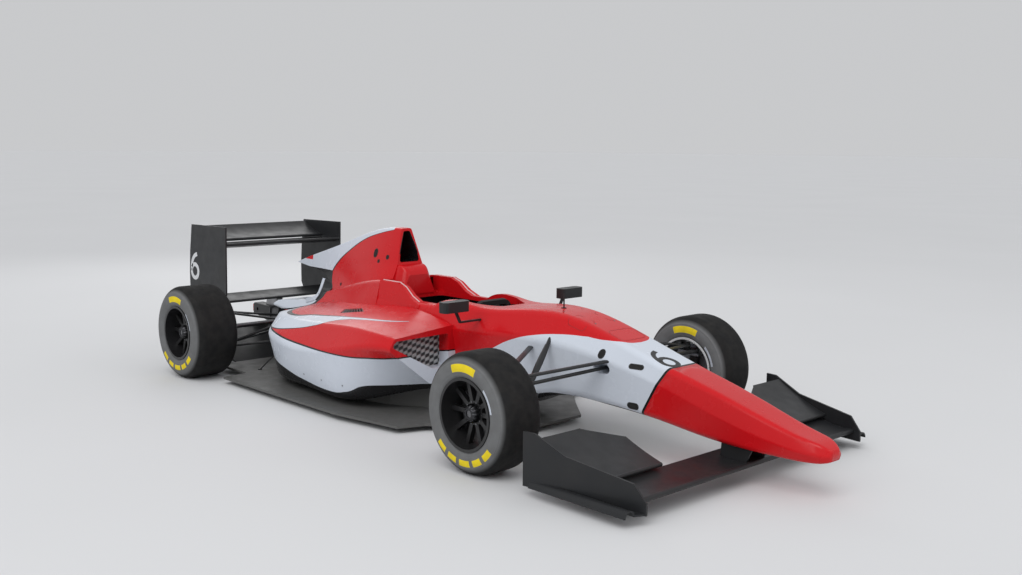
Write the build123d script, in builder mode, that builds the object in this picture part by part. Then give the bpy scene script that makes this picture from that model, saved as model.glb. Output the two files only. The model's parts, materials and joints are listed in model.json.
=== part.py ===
"""Open wheel racing car, built as separate named pieces in millimetres.

+X points forward, +Y to the car's left, +Z up; the ground is z = 0 and x = 0 is midway
between the tip of the nose and the trailing edge of the rear wing.
"""
import os
from collections import namedtuple
from math import cos, radians, sin, tan

from build123d import *

os.makedirs("parts", exist_ok=True)

# Main sizes of the car
WHEELBASE = 2780.0
OVERALL_WIDTH = 1845.0
FRONT_OVERHANG = 1325.0
REAR_OVERHANG = 700.0

# Wheels
FRONT_TYRE_RADIUS = 282.5
FRONT_TYRE_WIDTH = 250.0
REAR_TYRE_RADIUS = 292.5
REAR_TYRE_WIDTH = 300.0
RIM_RADIUS = 165.0
RIM_LIP_RADIUS = 170.0
RIM_WALL = 9.0
TYRE_WALL = 12.0
SPOKE_COUNT = 10
DISC_RADIUS = 124.0
DISC_THICKNESS = 24.0
HUB_RADIUS = 30.0
BEARING_GAP = 0.3

# Bodywork
TUB_WALL = 26.0
COVER_WALL = 10.0
COCKPIT_HALF_WIDTH = 180.0
SEAT_HALF = 160.0
SEAT_ROOM = 12.0
ENGINE_HALF = 150.0
ENGINE_TOP = 440.0
FLOOR_BOTTOM = 30.0
FLOOR_THICKNESS = 14.0
PLANK_THICKNESS = 10.0
PANEL_GAP = 0.3

# Steering
KINGPIN_INSET = 222.0
ARM_LENGTH = 75.0
RACK_STATION = 165.0
RACK_RADIUS = 14.0
TRACK_ROD_RADIUS = 9.0

FRONT_AXLE_X = (WHEELBASE + FRONT_OVERHANG + REAR_OVERHANG) / 2 - FRONT_OVERHANG
REAR_AXLE_X = FRONT_AXLE_X - WHEELBASE
HALF_WIDTH = OVERALL_WIDTH / 2
KINGPIN_Y = HALF_WIDTH - KINGPIN_INSET
FLOOR_TOP = FLOOR_BOTTOM + FLOOR_THICKNESS


def front(station):
    """X of a station measured forward from the front axle."""
    return FRONT_AXLE_X + station


def rear(station):
    """X of a station measured forward from the rear axle."""
    return REAR_AXLE_X + station


def across(x):
    """Plane across the car at x, drawn as (y, z)."""
    return Plane(origin=(x, 0, 0), x_dir=(0, 1, 0), z_dir=(1, 0, 0))


def side_on(y):
    """Plane along the car at y, drawn as (x, z), facing right."""
    return Plane(origin=(0, y, 0), x_dir=(1, 0, 0), z_dir=(0, -1, 0))


def level(z):
    """Plane of the ground raised to z, drawn as (x, y)."""
    return Plane(origin=(0, 0, z), x_dir=(1, 0, 0), z_dir=(0, 0, 1))


def wheel_plane(side, axle_x, axle_z):
    """Plane through a wheel's axle, drawn as (radius, distance out from the car's middle)."""
    return Plane(origin=(axle_x, 0, axle_z), x_dir=(0, 0, 1), z_dir=(-side, 0, 0))


def polygon(plane, points, corner=0.0):
    """Closed outline through the points on a plane, its corners rounded when a radius is given."""
    with BuildSketch(plane) as outline:
        with BuildLine():
            Polyline(*points, close=True)
        make_face()
        if corner > 0:
            fillet(outline.vertices(), radius=corner)
    return outline.sketch


def aerofoil(plane, points):
    """Wing section through its nose, lower front, belly, lower tail, upper tail, back and upper front."""
    nose, front_low, belly, tail_low, tail_high, back, front_high = points
    with BuildSketch(plane) as outline:
        with BuildLine():
            ThreePointArc(front_high, nose, front_low)
            ThreePointArc(front_low, belly, tail_low)
            Line(tail_low, tail_high)
            ThreePointArc(tail_high, back, front_high)
        make_face()
    return outline.sketch


def wing(points, half_width):
    """Wing of one section across the car."""
    extrude(aerofoil(side_on(0), points), amount=half_width, both=True)


def side_block(points, half_width, mode=Mode.ADD):
    """Side-on outline pushed out to both sides of the car's middle."""
    extrude(polygon(side_on(0), points), amount=half_width, both=True, mode=mode)


def strut(start, end, chord, thickness):
    """Bar of oval section from start to end, its long side along the car."""
    run = Vector(*end) - Vector(*start)
    way = run.normalized()
    ahead = Vector(1, 0, 0)
    flat = (ahead - way * ahead.dot(way)).normalized()
    with BuildSketch(Plane(origin=start, x_dir=flat, z_dir=way)) as oval:
        Ellipse(chord / 2, thickness / 2)
    extrude(oval.sketch, amount=run.length)


def ball(centre, radius):
    """Ball with its middle at the point given."""
    with Locations(centre):
        Sphere(radius)


# Hull: nose and tub share one loft, so their joint is flush.
HullRow = namedtuple("HullRow", "x half_bottom half_waist half_top z_bottom z_waist z_top corner")
HULL = [
    HullRow(front(FRONT_OVERHANG), 22, 30, 18, 188, 202, 215, 8),
    HullRow(front(1270), 62, 68, 46, 172, 198, 232, 16),
    HullRow(front(1130), 86, 92, 68, 164, 214, 274, 22),
    HullRow(front(900), 106, 112, 90, 167, 264, 354, 28),
    HullRow(front(650), 122, 128, 104, 188, 335, 430, 34),
    HullRow(front(460), 136, 142, 114, 214, 390, 481, 36),
    HullRow(front(150), 160, 182, 118, 236, 470, 574, 48),
    HullRow(front(-110), 172, 206, 122, 236, 505, 637, 52),
    HullRow(front(-400), 184, 235, 152, 150, 515, 645, 52),
    HullRow(front(-720), 200, 262, 204, 56, 500, 626, 44),
    HullRow(front(-1060), 212, 272, 230, FLOOR_TOP, 480, 600, 36),
    HullRow(front(-1560), 214, 274, 240, FLOOR_TOP, 480, 600, 36),
]


def hull_section(row, inset=0.0):
    """Six-sided rounded section of the hull, drawn inside the table's sizes by the inset."""
    outline = [
        (-row.half_bottom + inset, row.z_bottom + inset),
        (row.half_bottom - inset, row.z_bottom + inset),
        (row.half_waist - inset, row.z_waist),
        (row.half_top - inset, row.z_top - inset),
        (-row.half_top + inset, row.z_top - inset),
        (-row.half_waist + inset, row.z_waist),
    ]
    return polygon(across(row.x), outline, row.corner - inset / 2)


with BuildPart() as hull:
    loft([hull_section(row) for row in HULL])
    # The last stretch is straight: the smooth skin swells there.
    split(bisect_by=across(HULL[-2].x), keep=Keep.TOP)
    loft([hull_section(row) for row in HULL[-2:]], ruled=True)

JOINT_TOP = (front(530), 480)
JOINT_BOTTOM = (front(376), 200)
JOINT_LEAN = Vector(JOINT_TOP[1] - JOINT_BOTTOM[1], 0, JOINT_BOTTOM[0] - JOINT_TOP[0])
NOSE_JOINT = Plane(origin=(JOINT_TOP[0], 0, JOINT_TOP[1]), x_dir=(0, 1, 0), z_dir=JOINT_LEAN)

with BuildPart() as nose_cone:
    add(hull.part)
    split(bisect_by=NOSE_JOINT, keep=Keep.TOP)
nose_cone.part.label = "nose_cone"
export_step(nose_cone.part, "parts/nose_cone.step")

COCKPIT_FRONT = front(-640)
COCKPIT_REAR = front(-1480)
CAVITY_ROWS = [
    HULL[8]._replace(x=front(-430)),
    HULL[9],
    HULL[10],
    HULL[11]._replace(x=HULL[11].x + TUB_WALL),
]
SEAT_FLOOR = FLOOR_TOP + TUB_WALL
COLUMN_LEAN = 12.0
COLUMN_RADIUS = 15.0
WHEEL_CENTRE = (front(-830), 0, 548)
COLUMN_WAY = (cos(radians(COLUMN_LEAN)), 0, -sin(radians(COLUMN_LEAN)))
COLUMN_PLANE = Plane(origin=WHEEL_CENTRE, x_dir=(0, 1, 0), z_dir=COLUMN_WAY)
COLUMN_LENGTH = 445.0
RACK_Z = 424.0
SEAT_WELL = [
    (COCKPIT_FRONT - 150, -SEAT_HALF - SEAT_ROOM),
    (COCKPIT_FRONT - 150, SEAT_HALF + SEAT_ROOM),
    (COCKPIT_REAR, SEAT_HALF + SEAT_ROOM),
    (COCKPIT_REAR, -SEAT_HALF - SEAT_ROOM),
]
RIM_EDGE = [
    (COCKPIT_FRONT, COCKPIT_HALF_WIDTH - 94),
    (COCKPIT_FRONT - 150, COCKPIT_HALF_WIDTH - 20),
    (COCKPIT_FRONT - 420, COCKPIT_HALF_WIDTH),
    (COCKPIT_REAR, COCKPIT_HALF_WIDTH),
]
COCKPIT_RIM = RIM_EDGE + [(x, -y) for x, y in reversed(RIM_EDGE)]

with BuildPart() as monocoque:
    add(hull.part)
    split(bisect_by=NOSE_JOINT, keep=Keep.BOTTOM)
    loft([hull_section(row, TUB_WALL) for row in CAVITY_ROWS], ruled=True, mode=Mode.SUBTRACT)
    extrude(polygon(level(SEAT_FLOOR), SEAT_WELL), amount=200, mode=Mode.SUBTRACT)
    extrude(polygon(level(450), COCKPIT_RIM, 40), amount=300, mode=Mode.SUBTRACT)
    # Rack bore in the middle, open slots for the track rods on both sides.
    with Locations((front(RACK_STATION), 0, RACK_Z)):
        Cylinder(RACK_RADIUS + BEARING_GAP, 600, rotation=(90, 0, 0), mode=Mode.SUBTRACT)
    for side in (-1, 1):
        with BuildSketch(Plane(origin=(front(RACK_STATION) - 6, side * 60, RACK_Z - 4),
                               x_dir=(1, 0, 0), z_dir=(0, side, 0))):
            SlotOverall(96, 48)
        extrude(amount=300, mode=Mode.SUBTRACT)
    with BuildSketch(COLUMN_PLANE):
        Circle(COLUMN_RADIUS + BEARING_GAP)
    extrude(amount=COLUMN_LENGTH + 5, mode=Mode.SUBTRACT)
monocoque.part.label = "monocoque"
export_step(monocoque.part, "parts/monocoque.step")

# Cockpit fittings
TUB_REAR = HULL[-1].x
SEAT_SHELL = 16.0
SEAT_SIDE = [
    (front(-930), SEAT_FLOOR),
    (front(-930), 190),
    (front(-1000), 250),
    (front(-1250), 300),
    (front(-1340), 520),
    (front(-1420), 520),
    (front(-1400), 330),
    (front(-1360), SEAT_FLOOR),
]
SEAT_HOLLOW = [
    (front(-900), 100),
    (front(-1180), SEAT_FLOOR + SEAT_SHELL),
    (front(-1290), 150),
    (front(-1395), 540),
    (front(-1000), 640),
    (front(-900), 600),
]

with BuildPart() as seat:
    side_block(SEAT_SIDE, SEAT_HALF)
    side_block(SEAT_HOLLOW, SEAT_HALF - SEAT_SHELL, Mode.SUBTRACT)
seat.part.label = "seat"
export_step(seat.part, "parts/seat.step")

with BuildPart() as steering_wheel:
    with BuildSketch(COLUMN_PLANE):
        RectangleRounded(270, 176, 62)
        RectangleRounded(216, 122, 36, mode=Mode.SUBTRACT)
        RectangleRounded(150, 100, 24)
        Rectangle(230, 40)
    extrude(amount=12, both=True)
    with BuildSketch(COLUMN_PLANE):
        Circle(COLUMN_RADIUS)
    extrude(amount=COLUMN_LENGTH)
steering_wheel.part.label = "steering_wheel"
export_step(steering_wheel.part, "parts/steering_wheel.step")

SURROUND_TOP = 692.0
SURROUND_SECTION = [
    (COCKPIT_HALF_WIDTH + 66, 566),
    (COCKPIT_HALF_WIDTH + 42, SURROUND_TOP),
    (COCKPIT_HALF_WIDTH - 2, SURROUND_TOP),
    (COCKPIT_HALF_WIDTH + 2, 566),
]
SURROUND_FRONT = front(-1170)
HUMP_TOP = 772.0
HUMP_LENGTH = 85.0


def hump_section(x, half_base, half_top, top):
    """Rounded section of the head fairing in front of the roll hoop."""
    return polygon(across(x), [(-half_base, 590), (half_base, 590), (half_top, top), (-half_top, top)], 20)


with BuildPart() as cockpit_surround:
    with BuildSketch(across(TUB_REAR)):
        with BuildLine():
            Polyline(*SURROUND_SECTION, close=True)
        make_face()
        mirror(about=Plane.YZ)
    extrude(amount=SURROUND_FRONT - TUB_REAR)
    side_block([
        (SURROUND_FRONT - 2, 586),
        (SURROUND_FRONT - 95, 624),
        (SURROUND_FRONT - 160, 670),
        (SURROUND_FRONT - 220, SURROUND_TOP - 3),
        (SURROUND_FRONT - 220, SURROUND_TOP + 20),
        (SURROUND_FRONT + 20, SURROUND_TOP + 20),
        (SURROUND_FRONT + 20, 586),
    ], 400, Mode.SUBTRACT)
    loft([
        hump_section(TUB_REAR, 150, 92, HUMP_TOP),
        hump_section(TUB_REAR + 45, 146, 88, HUMP_TOP - 10),
        hump_section(TUB_REAR + HUMP_LENGTH, 130, 70, HUMP_TOP - 57),
    ])
    add(hull.part, mode=Mode.SUBTRACT)
cockpit_surround.part.label = "cockpit_surround"
export_step(cockpit_surround.part, "parts/cockpit_surround.step")

# Engine cover: a low cowl and an air box that runs back into a fin
COWL = [
    HullRow(TUB_REAR, 249, 274, COCKPIT_HALF_WIDTH + 42, 300, 480, SURROUND_TOP, 30),
    HullRow(rear(880), 245, 250, 165, 300, 450, 637, 34),
    HullRow(rear(530), 200, 198, 125, 310, 412, 550, 28),
    HullRow(rear(180), 162, 160, 104, 344, 390, 472, 18),
    HullRow(rear(-120), 142, 141, 106, 385, 398, 417, 6),
]
AIR_BOX = [
    HullRow(TUB_REAR, 170, 94, 36, 600, HUMP_TOP, 982, 18),
    HullRow(rear(1024), 168, 100, 34, 600, 770, 979, 17),
    HullRow(rear(733), 132, 74, 17, 560, 730, 910, 9),
    HullRow(rear(380), 62, 36, 8, 520, 650, 804, 4),
    HullRow(rear(-20), 20, 12, 5, 480, 600, 684, 2),
]
MOUTH = [
    HullRow(TUB_REAR + 40, 75, 65, 20, 784, 835, 966, 12),
    HullRow(rear(1024), 72, 62, 19, 784, 835, 960, 12),
    HullRow(rear(800), 56, 46, 12, 770, 815, 905, 8),
]
MOUTH_LEAN = 9.0
MOUTH_FACE = Plane(origin=(TUB_REAR, 0, HUMP_TOP), x_dir=(0, 1, 0),
                   z_dir=(cos(radians(MOUTH_LEAN)), 0, sin(radians(MOUTH_LEAN))))
HOOP_DEPTH = 64.0
HOOP_BASE = 694.0
HOOP_BLOCK = [
    (TUB_REAR + 60, HOOP_BASE),
    (TUB_REAR - HOOP_DEPTH, HOOP_BASE),
    (TUB_REAR - HOOP_DEPTH - (1060 - HUMP_TOP) * tan(radians(MOUTH_LEAN)), 1060),
    (TUB_REAR + 60, 1060),
]
TAIL_OPENING = [
    (rear(-200), 690),
    (rear(-16), 684),
    (rear(303), 653),
    (rear(380), 632),
    (rear(440), 590),
    (rear(470), 540),
    (rear(440), 504),
    (rear(330), 472),
    (rear(0), 432),
    (rear(-200), 412),
]

with BuildPart() as air_box:
    loft([hull_section(row) for row in AIR_BOX])
    split(bisect_by=MOUTH_FACE, keep=Keep.BOTTOM)
    loft([hull_section(row) for row in MOUTH], mode=Mode.SUBTRACT)

with BuildPart() as hoop_block:
    side_block(HOOP_BLOCK, 300)

with BuildPart() as cowl:
    loft([hull_section(row) for row in COWL])

with BuildPart() as roll_hoop:
    add(air_box.part)
    add(hoop_block.part, mode=Mode.INTERSECT)
    add(cowl.part, mode=Mode.SUBTRACT)
roll_hoop.part.label = "roll_hoop"
export_step(roll_hoop.part, "parts/roll_hoop.step")

COWL_INSIDE = [row._replace(z_bottom=row.z_bottom - 3 * COVER_WALL) for row in COWL]

with BuildPart() as engine_cover:
    add(air_box.part)
    add(hoop_block.part, mode=Mode.SUBTRACT)
    add(cowl.part)
    loft([hull_section(row, COVER_WALL) for row in COWL_INSIDE], mode=Mode.SUBTRACT)
    side_block(TAIL_OPENING, 300, Mode.SUBTRACT)
engine_cover.part.label = "engine_cover"
export_step(engine_cover.part, "parts/engine_cover.step")

# Side pods
PodRow = namedtuple("PodRow", "x y_lower z_bottom y_outer z_side y_shoulder z_shoulder y_inner z_inner corner")
POD = [
    PodRow(front(-850), 372, 175, 694, 424, 656, 482, 244, 518, 24),
    PodRow(front(-1000), 494, 151, 714, 424, 664, 496, 244, 556, 34),
    PodRow(front(-1240), 646, 88, 718, 386, 644, 496, 242, 584, 40),
    PodRow(rear(1215), 661, 78, 710, 330, 614, 474, 236, 562, 44),
    PodRow(rear(880), 634, 76, 682, 320, 580, 452, 206, 536, 46),
    PodRow(rear(600), 548, 80, 608, 328, 512, 446, 160, 500, 46),
    PodRow(rear(375), 390, 110, 450, 330, 384, 416, 160, 440, 30),
]
MOUTH_OPENING = PodRow(POD[0].x, 400, 292, 676, 440, 644, 468, 292, 474, 16)
MOUTH_DEPTH = 120.0
RADIATOR_THICKNESS = 40.0
LOUVRE_OUTER = [(front(-1657), 443), (front(-1468), 407)]
LOUVRE_INNER = [(front(-1707), 374), (front(-1569), 349)]
LOUVRE_COUNT = 8
LOUVRE_OPEN = 0.58
LOUVRE_FLOOR = 455.0


def along(ends, share):
    """Point at a share of the way between two ends."""
    (x_start, y_start), (x_end, y_end) = ends
    return (x_start + share * (x_end - x_start), y_start + share * (y_end - y_start))


def pod_section(row):
    """Rounded five-sided section of the left pod."""
    outline = [
        (row.y_inner, row.z_bottom),
        (row.y_lower, row.z_bottom),
        (row.y_outer, row.z_side),
        (row.y_shoulder, row.z_shoulder),
        (row.y_inner, row.z_inner),
    ]
    return polygon(across(row.x), outline, row.corner)


with BuildPart() as pod_form:
    loft([pod_section(row) for row in POD])

with BuildPart() as mouth_form:
    extrude(pod_section(MOUTH_OPENING), amount=-MOUTH_DEPTH)

with BuildPart() as side_pod_left:
    add(pod_form.part)
    add(mouth_form.part, mode=Mode.SUBTRACT)
    add(hull.part, mode=Mode.SUBTRACT)
    add(cowl.part, mode=Mode.SUBTRACT)
    with BuildSketch(level(0)):
        with Locations((TUB_REAR + 10, 0)):
            Rectangle(1200, 2 * (ENGINE_HALF + 10), align=(Align.MAX, Align.CENTER))
    extrude(amount=ENGINE_TOP + 10, mode=Mode.SUBTRACT)
    for slot in range(LOUVRE_COUNT):
        behind = slot / LOUVRE_COUNT
        ahead = (slot + LOUVRE_OPEN) / LOUVRE_COUNT
        outline = [along(LOUVRE_OUTER, behind), along(LOUVRE_OUTER, ahead),
                   along(LOUVRE_INNER, ahead), along(LOUVRE_INNER, behind)]
        extrude(polygon(level(LOUVRE_FLOOR), outline), amount=SURROUND_TOP - LOUVRE_FLOOR, mode=Mode.SUBTRACT)
side_pod_left.part.label = "side_pod_left"
export_step(side_pod_left.part, "parts/side_pod_left.step")

with BuildPart() as side_pod_right:
    add(mirror(side_pod_left.part, about=Plane.XZ, mode=Mode.PRIVATE))
side_pod_right.part.label = "side_pod_right"
export_step(side_pod_right.part, "parts/side_pod_right.step")

with BuildPart() as radiators:
    extrude(pod_section(MOUTH_OPENING._replace(x=POD[0].x - MOUTH_DEPTH)), amount=RADIATOR_THICKNESS)
    mirror(about=Plane.XZ)
radiators.part.label = "radiators"
export_step(radiators.part, "parts/radiators.step")

# Floor, plank and diffuser
FLOOR_EDGE = [
    (front(-310), 190),
    (front(-520), 370),
    (front(-720), 560),
    (front(-770), 705),
    (front(-1220), 778),
    (rear(332), 778),
    (rear(320), 606),
    (rear(-40), 606),
]
FLOOR_PLAN = FLOOR_EDGE + [(x, -y) for x, y in reversed(FLOOR_EDGE)]
STEP_EDGE = [
    (front(-960), 300),
    (front(-1180), 440),
    (front(-1300), 480),
    (rear(1215), 480),
    (rear(880), 470),
    (rear(560), 400),
    (rear(450), 300),
]

with BuildPart() as floor:
    extrude(polygon(level(FLOOR_BOTTOM), FLOOR_PLAN), amount=FLOOR_THICKNESS)
    extrude(polygon(level(FLOOR_TOP), STEP_EDGE), amount=200)
    add(pod_form.part, mode=Mode.SUBTRACT)
    split(bisect_by=Plane.XZ, keep=Keep.BOTTOM)
    mirror(about=Plane.XZ)
    add(hull.part, mode=Mode.SUBTRACT)
floor.part.label = "floor"
export_step(floor.part, "parts/floor.step")

PLANK_FRONT = front(-330)
PLANK_REAR = rear(20)
PLANK_WIDTH = 300.0

with BuildPart() as skid_plank:
    with BuildSketch(level(FLOOR_BOTTOM - PLANK_THICKNESS)):
        with Locations(((PLANK_FRONT + PLANK_REAR) / 2, 0)):
            RectangleRounded(PLANK_FRONT - PLANK_REAR, PLANK_WIDTH, 40)
    extrude(amount=PLANK_THICKNESS)
skid_plank.part.label = "skid_plank"
export_step(skid_plank.part, "parts/skid_plank.step")

DIFFUSER_HALF = 480.0
DIFFUSER_END = rear(-430)
STRAKES = [-472.0, -300.0, -150.0, 150.0, 300.0, 472.0]

with BuildPart() as diffuser:
    side_block([
        (rear(-40), FLOOR_BOTTOM),
        (DIFFUSER_END, 196),
        (DIFFUSER_END, 206),
        (rear(-40), FLOOR_TOP),
    ], DIFFUSER_HALF)
    for strake in STRAKES:
        outline = polygon(side_on(strake), [
            (rear(-60), 36),
            (rear(-120), 40),
            (DIFFUSER_END, 80),
            (DIFFUSER_END, 202),
        ])
        extrude(outline, amount=3, both=True)
diffuser.part.label = "diffuser"
export_step(diffuser.part, "parts/diffuser.step")

# Engine, gearbox and tail
ENGINE_REAR = rear(430)
GEARBOX_REAR = rear(-280)
TAIL_REAR = rear(-560)
TAIL_TOP = 346.0
SHAFT_RADIUS = 15.0
FLANGE = 14.0
GEARBOX_RIBS = [rear(100), rear(-130)]

with BuildPart() as engine:
    with BuildSketch(across(TUB_REAR)):
        with Locations((0, FLOOR_TOP)):
            Rectangle(2 * ENGINE_HALF, ENGINE_TOP - FLOOR_TOP, align=(Align.CENTER, Align.MIN))
    extrude(amount=ENGINE_REAR - TUB_REAR)
engine.part.label = "engine"
export_step(engine.part, "parts/engine.step")

with BuildPart() as gearbox:
    loft([
        polygon(across(ENGINE_REAR), [(-130, 110), (130, 110), (118, 400), (-118, 400)], 24),
        polygon(across(GEARBOX_REAR), [(-82, 176), (82, 176), (74, TAIL_TOP), (-74, TAIL_TOP)], 18),
    ])
    extrude(polygon(across(ENGINE_REAR), [(-142, 98), (142, 98), (130, 412), (-130, 412)], 30), amount=-FLANGE)
    extrude(polygon(across(GEARBOX_REAR), [(-92, 166), (92, 166), (84, 356), (-84, 356)], 22), amount=FLANGE)
    for rib in GEARBOX_RIBS:
        extrude(polygon(across(rib), [(-112, 160), (112, 160), (102, 372), (-102, 372)], 24), amount=FLANGE / 2)
    for side in (-1, 1):
        with Locations((REAR_AXLE_X, side * 100, REAR_TYRE_RADIUS)):
            Cylinder(56, 60, rotation=(90, 0, 0))
    with Locations((REAR_AXLE_X, 0, REAR_TYRE_RADIUS)):
        Cylinder(SHAFT_RADIUS + BEARING_GAP, 400, rotation=(90, 0, 0), mode=Mode.SUBTRACT)
gearbox.part.label = "gearbox"
export_step(gearbox.part, "parts/gearbox.step")

TOW_RADIUS = 12.0
TOW_X = rear(-500)
TOW_Z = 306.0

with BuildPart() as rear_impact_structure:
    loft([
        polygon(across(GEARBOX_REAR), [(-64, 226), (64, 226), (60, TAIL_TOP), (-60, TAIL_TOP)], 14),
        polygon(across(TAIL_REAR), [(-44, 266), (44, 266), (42, TAIL_TOP), (-42, TAIL_TOP)], 12),
    ])
    with Locations((TOW_X, 0, TOW_Z)):
        Cylinder(TOW_RADIUS, 200, rotation=(90, 0, 0), mode=Mode.SUBTRACT)
rear_impact_structure.part.label = "rear_impact_structure"
export_step(rear_impact_structure.part, "parts/rear_impact_structure.step")

with BuildPart() as rain_light:
    with BuildSketch(across(TAIL_REAR)):
        with Locations((0, 306)):
            RectangleRounded(70, 58, 8)
    extrude(amount=-22)
rain_light.part.label = "rain_light"
export_step(rain_light.part, "parts/rain_light.step")

# Rear wing
WING_HALF = 450.0
WING_PLATE = 10.0
TAIL_X = rear(-REAR_OVERHANG)
MAIN_PROFILE = [
    (rear(-182), 812),
    (rear(-192), 800),
    (rear(-290), 780),
    (rear(-440), 800),
    (rear(-440), 806),
    (rear(-290), 800),
    (rear(-192), 820),
]
FLAP_PROFILE = [
    (rear(-410), 824),
    (rear(-420), 814),
    (rear(-500), 834),
    (rear(-630), 908),
    (rear(-626), 914),
    (rear(-500), 852),
    (rear(-420), 834),
]
BEAM_PROFILE = [
    (rear(-230), 418),
    (rear(-240), 410),
    (rear(-330), 406),
    (rear(-440), 444),
    (rear(-440), 449),
    (rear(-330), 422),
    (rear(-240), 426),
]
REAR_PLATE = [
    (rear(-180), 930),
    (TAIL_X + 44, 924),
    (TAIL_X + 12, 736),
    (TAIL_X, 600),
    (TAIL_X, 450),
    (TAIL_X + 30, 396),
    (rear(-230), 396),
    (rear(-192), 480),
]

with BuildPart() as rear_wing_planes:
    wing(MAIN_PROFILE, WING_HALF)
    wing(FLAP_PROFILE, WING_HALF)
rear_wing_planes.part.label = "rear_wing_planes"
export_step(rear_wing_planes.part, "parts/rear_wing_planes.step")

with BuildPart() as rear_beam_wing:
    wing(BEAM_PROFILE, WING_HALF)
rear_beam_wing.part.label = "rear_beam_wing"
export_step(rear_beam_wing.part, "parts/rear_beam_wing.step")

with BuildPart() as rear_wing_endplates:
    extrude(polygon(side_on(-WING_HALF), REAR_PLATE), amount=WING_PLATE)
    mirror(about=Plane.XZ)
rear_wing_endplates.part.label = "rear_wing_endplates"
export_step(rear_wing_endplates.part, "parts/rear_wing_endplates.step")

SUPPORT_Y = 16.0

with BuildPart() as rear_wing_supports:
    extrude(polygon(side_on(-SUPPORT_Y), [
        (rear(-290), TAIL_TOP),
        (rear(-420), TAIL_TOP),
        (rear(-400), 414),
        (rear(-270), 414),
    ]), amount=8)
    mirror(about=Plane.XZ)
    add(rear_beam_wing.part, mode=Mode.SUBTRACT)
rear_wing_supports.part.label = "rear_wing_supports"
export_step(rear_wing_supports.part, "parts/rear_wing_supports.step")

# Front wing
PLATE_FRONT = (front(985), 812.0)
PLATE_REAR = (front(380), 902.0)
PLATE_THICKNESS = 10.0
FRONT_MAIN_PROFILE = [
    (front(950), 92),
    (front(940), 80),
    (front(850), 74),
    (front(748), 112),
    (front(748), 118),
    (front(850), 100),
    (front(940), 104),
]
FRONT_FLAP_PROFILE = [
    (front(776), 138),
    (front(766), 128),
    (front(650), 168),
    (front(466), 262),
    (front(466), 268),
    (front(650), 184),
    (front(766), 146),
]
FLAP_INNER_Y = 462.0
FLAP_TRIM = [
    (front(400), FLAP_INNER_Y - 20),
    (front(565), FLAP_INNER_Y - 20),
    (front(565), FLAP_INNER_Y + 3),
    (front(520), FLAP_INNER_Y + 88),
    (front(469), FLAP_INNER_Y + 188),
    (front(400), FLAP_INNER_Y + 188),
]
FOOT_Z = 46.0
FOOT_THICKNESS = 8.0
GUTTER_RADIUS = 30.0
GUTTER_WALL = 6.0
GUTTER_FRONT = front(960)
GUTTER_REAR = front(420)
GUTTER_Y = HALF_WIDTH - 4 - GUTTER_RADIUS

PLATE_RUN = Vector(PLATE_REAR[0] - PLATE_FRONT[0], PLATE_REAR[1] - PLATE_FRONT[1], 0)
PLATE_LENGTH = PLATE_RUN.length
PLATE_PLANE = Plane(origin=(PLATE_FRONT[0], PLATE_FRONT[1], 0), x_dir=PLATE_RUN,
                    z_dir=PLATE_RUN.cross(Vector(0, 0, 1)))
FRONT_PLATE = [
    (0, FOOT_Z),
    (0, 96),
    (60, 165),
    (PLATE_LENGTH - 220, 214),
    (PLATE_LENGTH - 60, 284),
    (PLATE_LENGTH, 284),
    (PLATE_LENGTH, FOOT_Z),
]
FOOT_EDGE_Y = GUTTER_Y - GUTTER_RADIUS + GUTTER_WALL
FOOT_END = (FOOT_EDGE_Y - PLATE_FRONT[1]) / PLATE_RUN.Y
FOOT_PLAN = [
    PLATE_FRONT,
    (GUTTER_FRONT, FOOT_EDGE_Y),
    (PLATE_FRONT[0] + FOOT_END * PLATE_RUN.X, FOOT_EDGE_Y),
]
INSIDE_PLATE = [
    PLATE_FRONT,
    PLATE_REAR,
    (PLATE_REAR[0], PLATE_FRONT[1] - GUTTER_RADIUS),
    (PLATE_FRONT[0], PLATE_FRONT[1] - GUTTER_RADIUS),
]
OUTSIDE_PLATES = [
    (PLATE_FRONT[0] + 200, PLATE_FRONT[1] - 200 * PLATE_RUN.Y / -PLATE_RUN.X),
    (PLATE_FRONT[0] + 200, 1200),
    (PLATE_REAR[0] - 200, 1200),
    (PLATE_REAR[0] - 200, PLATE_REAR[1] + 200 * PLATE_RUN.Y / -PLATE_RUN.X),
]

with BuildPart() as front_wing_endplates:
    with BuildSketch(across(GUTTER_REAR)):
        with Locations((GUTTER_Y, FOOT_Z)):
            Circle(GUTTER_RADIUS)
            Circle(GUTTER_RADIUS - GUTTER_WALL, mode=Mode.SUBTRACT)
            Rectangle(3 * GUTTER_RADIUS, 2 * GUTTER_RADIUS, align=(Align.CENTER, Align.MAX), mode=Mode.SUBTRACT)
    extrude(amount=GUTTER_FRONT - GUTTER_REAR)
    extrude(polygon(level(FOOT_Z), INSIDE_PLATE), amount=2 * GUTTER_RADIUS, mode=Mode.SUBTRACT)
    extrude(polygon(level(FOOT_Z), FOOT_PLAN), amount=FOOT_THICKNESS)
    extrude(polygon(PLATE_PLANE, FRONT_PLATE), amount=PLATE_THICKNESS)
    mirror(about=Plane.XZ)
front_wing_endplates.part.label = "front_wing_endplates"
export_step(front_wing_endplates.part, "parts/front_wing_endplates.step")

with BuildPart() as outside_plates:
    extrude(polygon(level(0), OUTSIDE_PLATES), amount=600)
    mirror(about=Plane.XZ)

with BuildPart() as front_wing_main_plane:
    wing(FRONT_MAIN_PROFILE, HALF_WIDTH)
    add(outside_plates.part, mode=Mode.SUBTRACT)
front_wing_main_plane.part.label = "front_wing_main_plane"
export_step(front_wing_main_plane.part, "parts/front_wing_main_plane.step")

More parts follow.
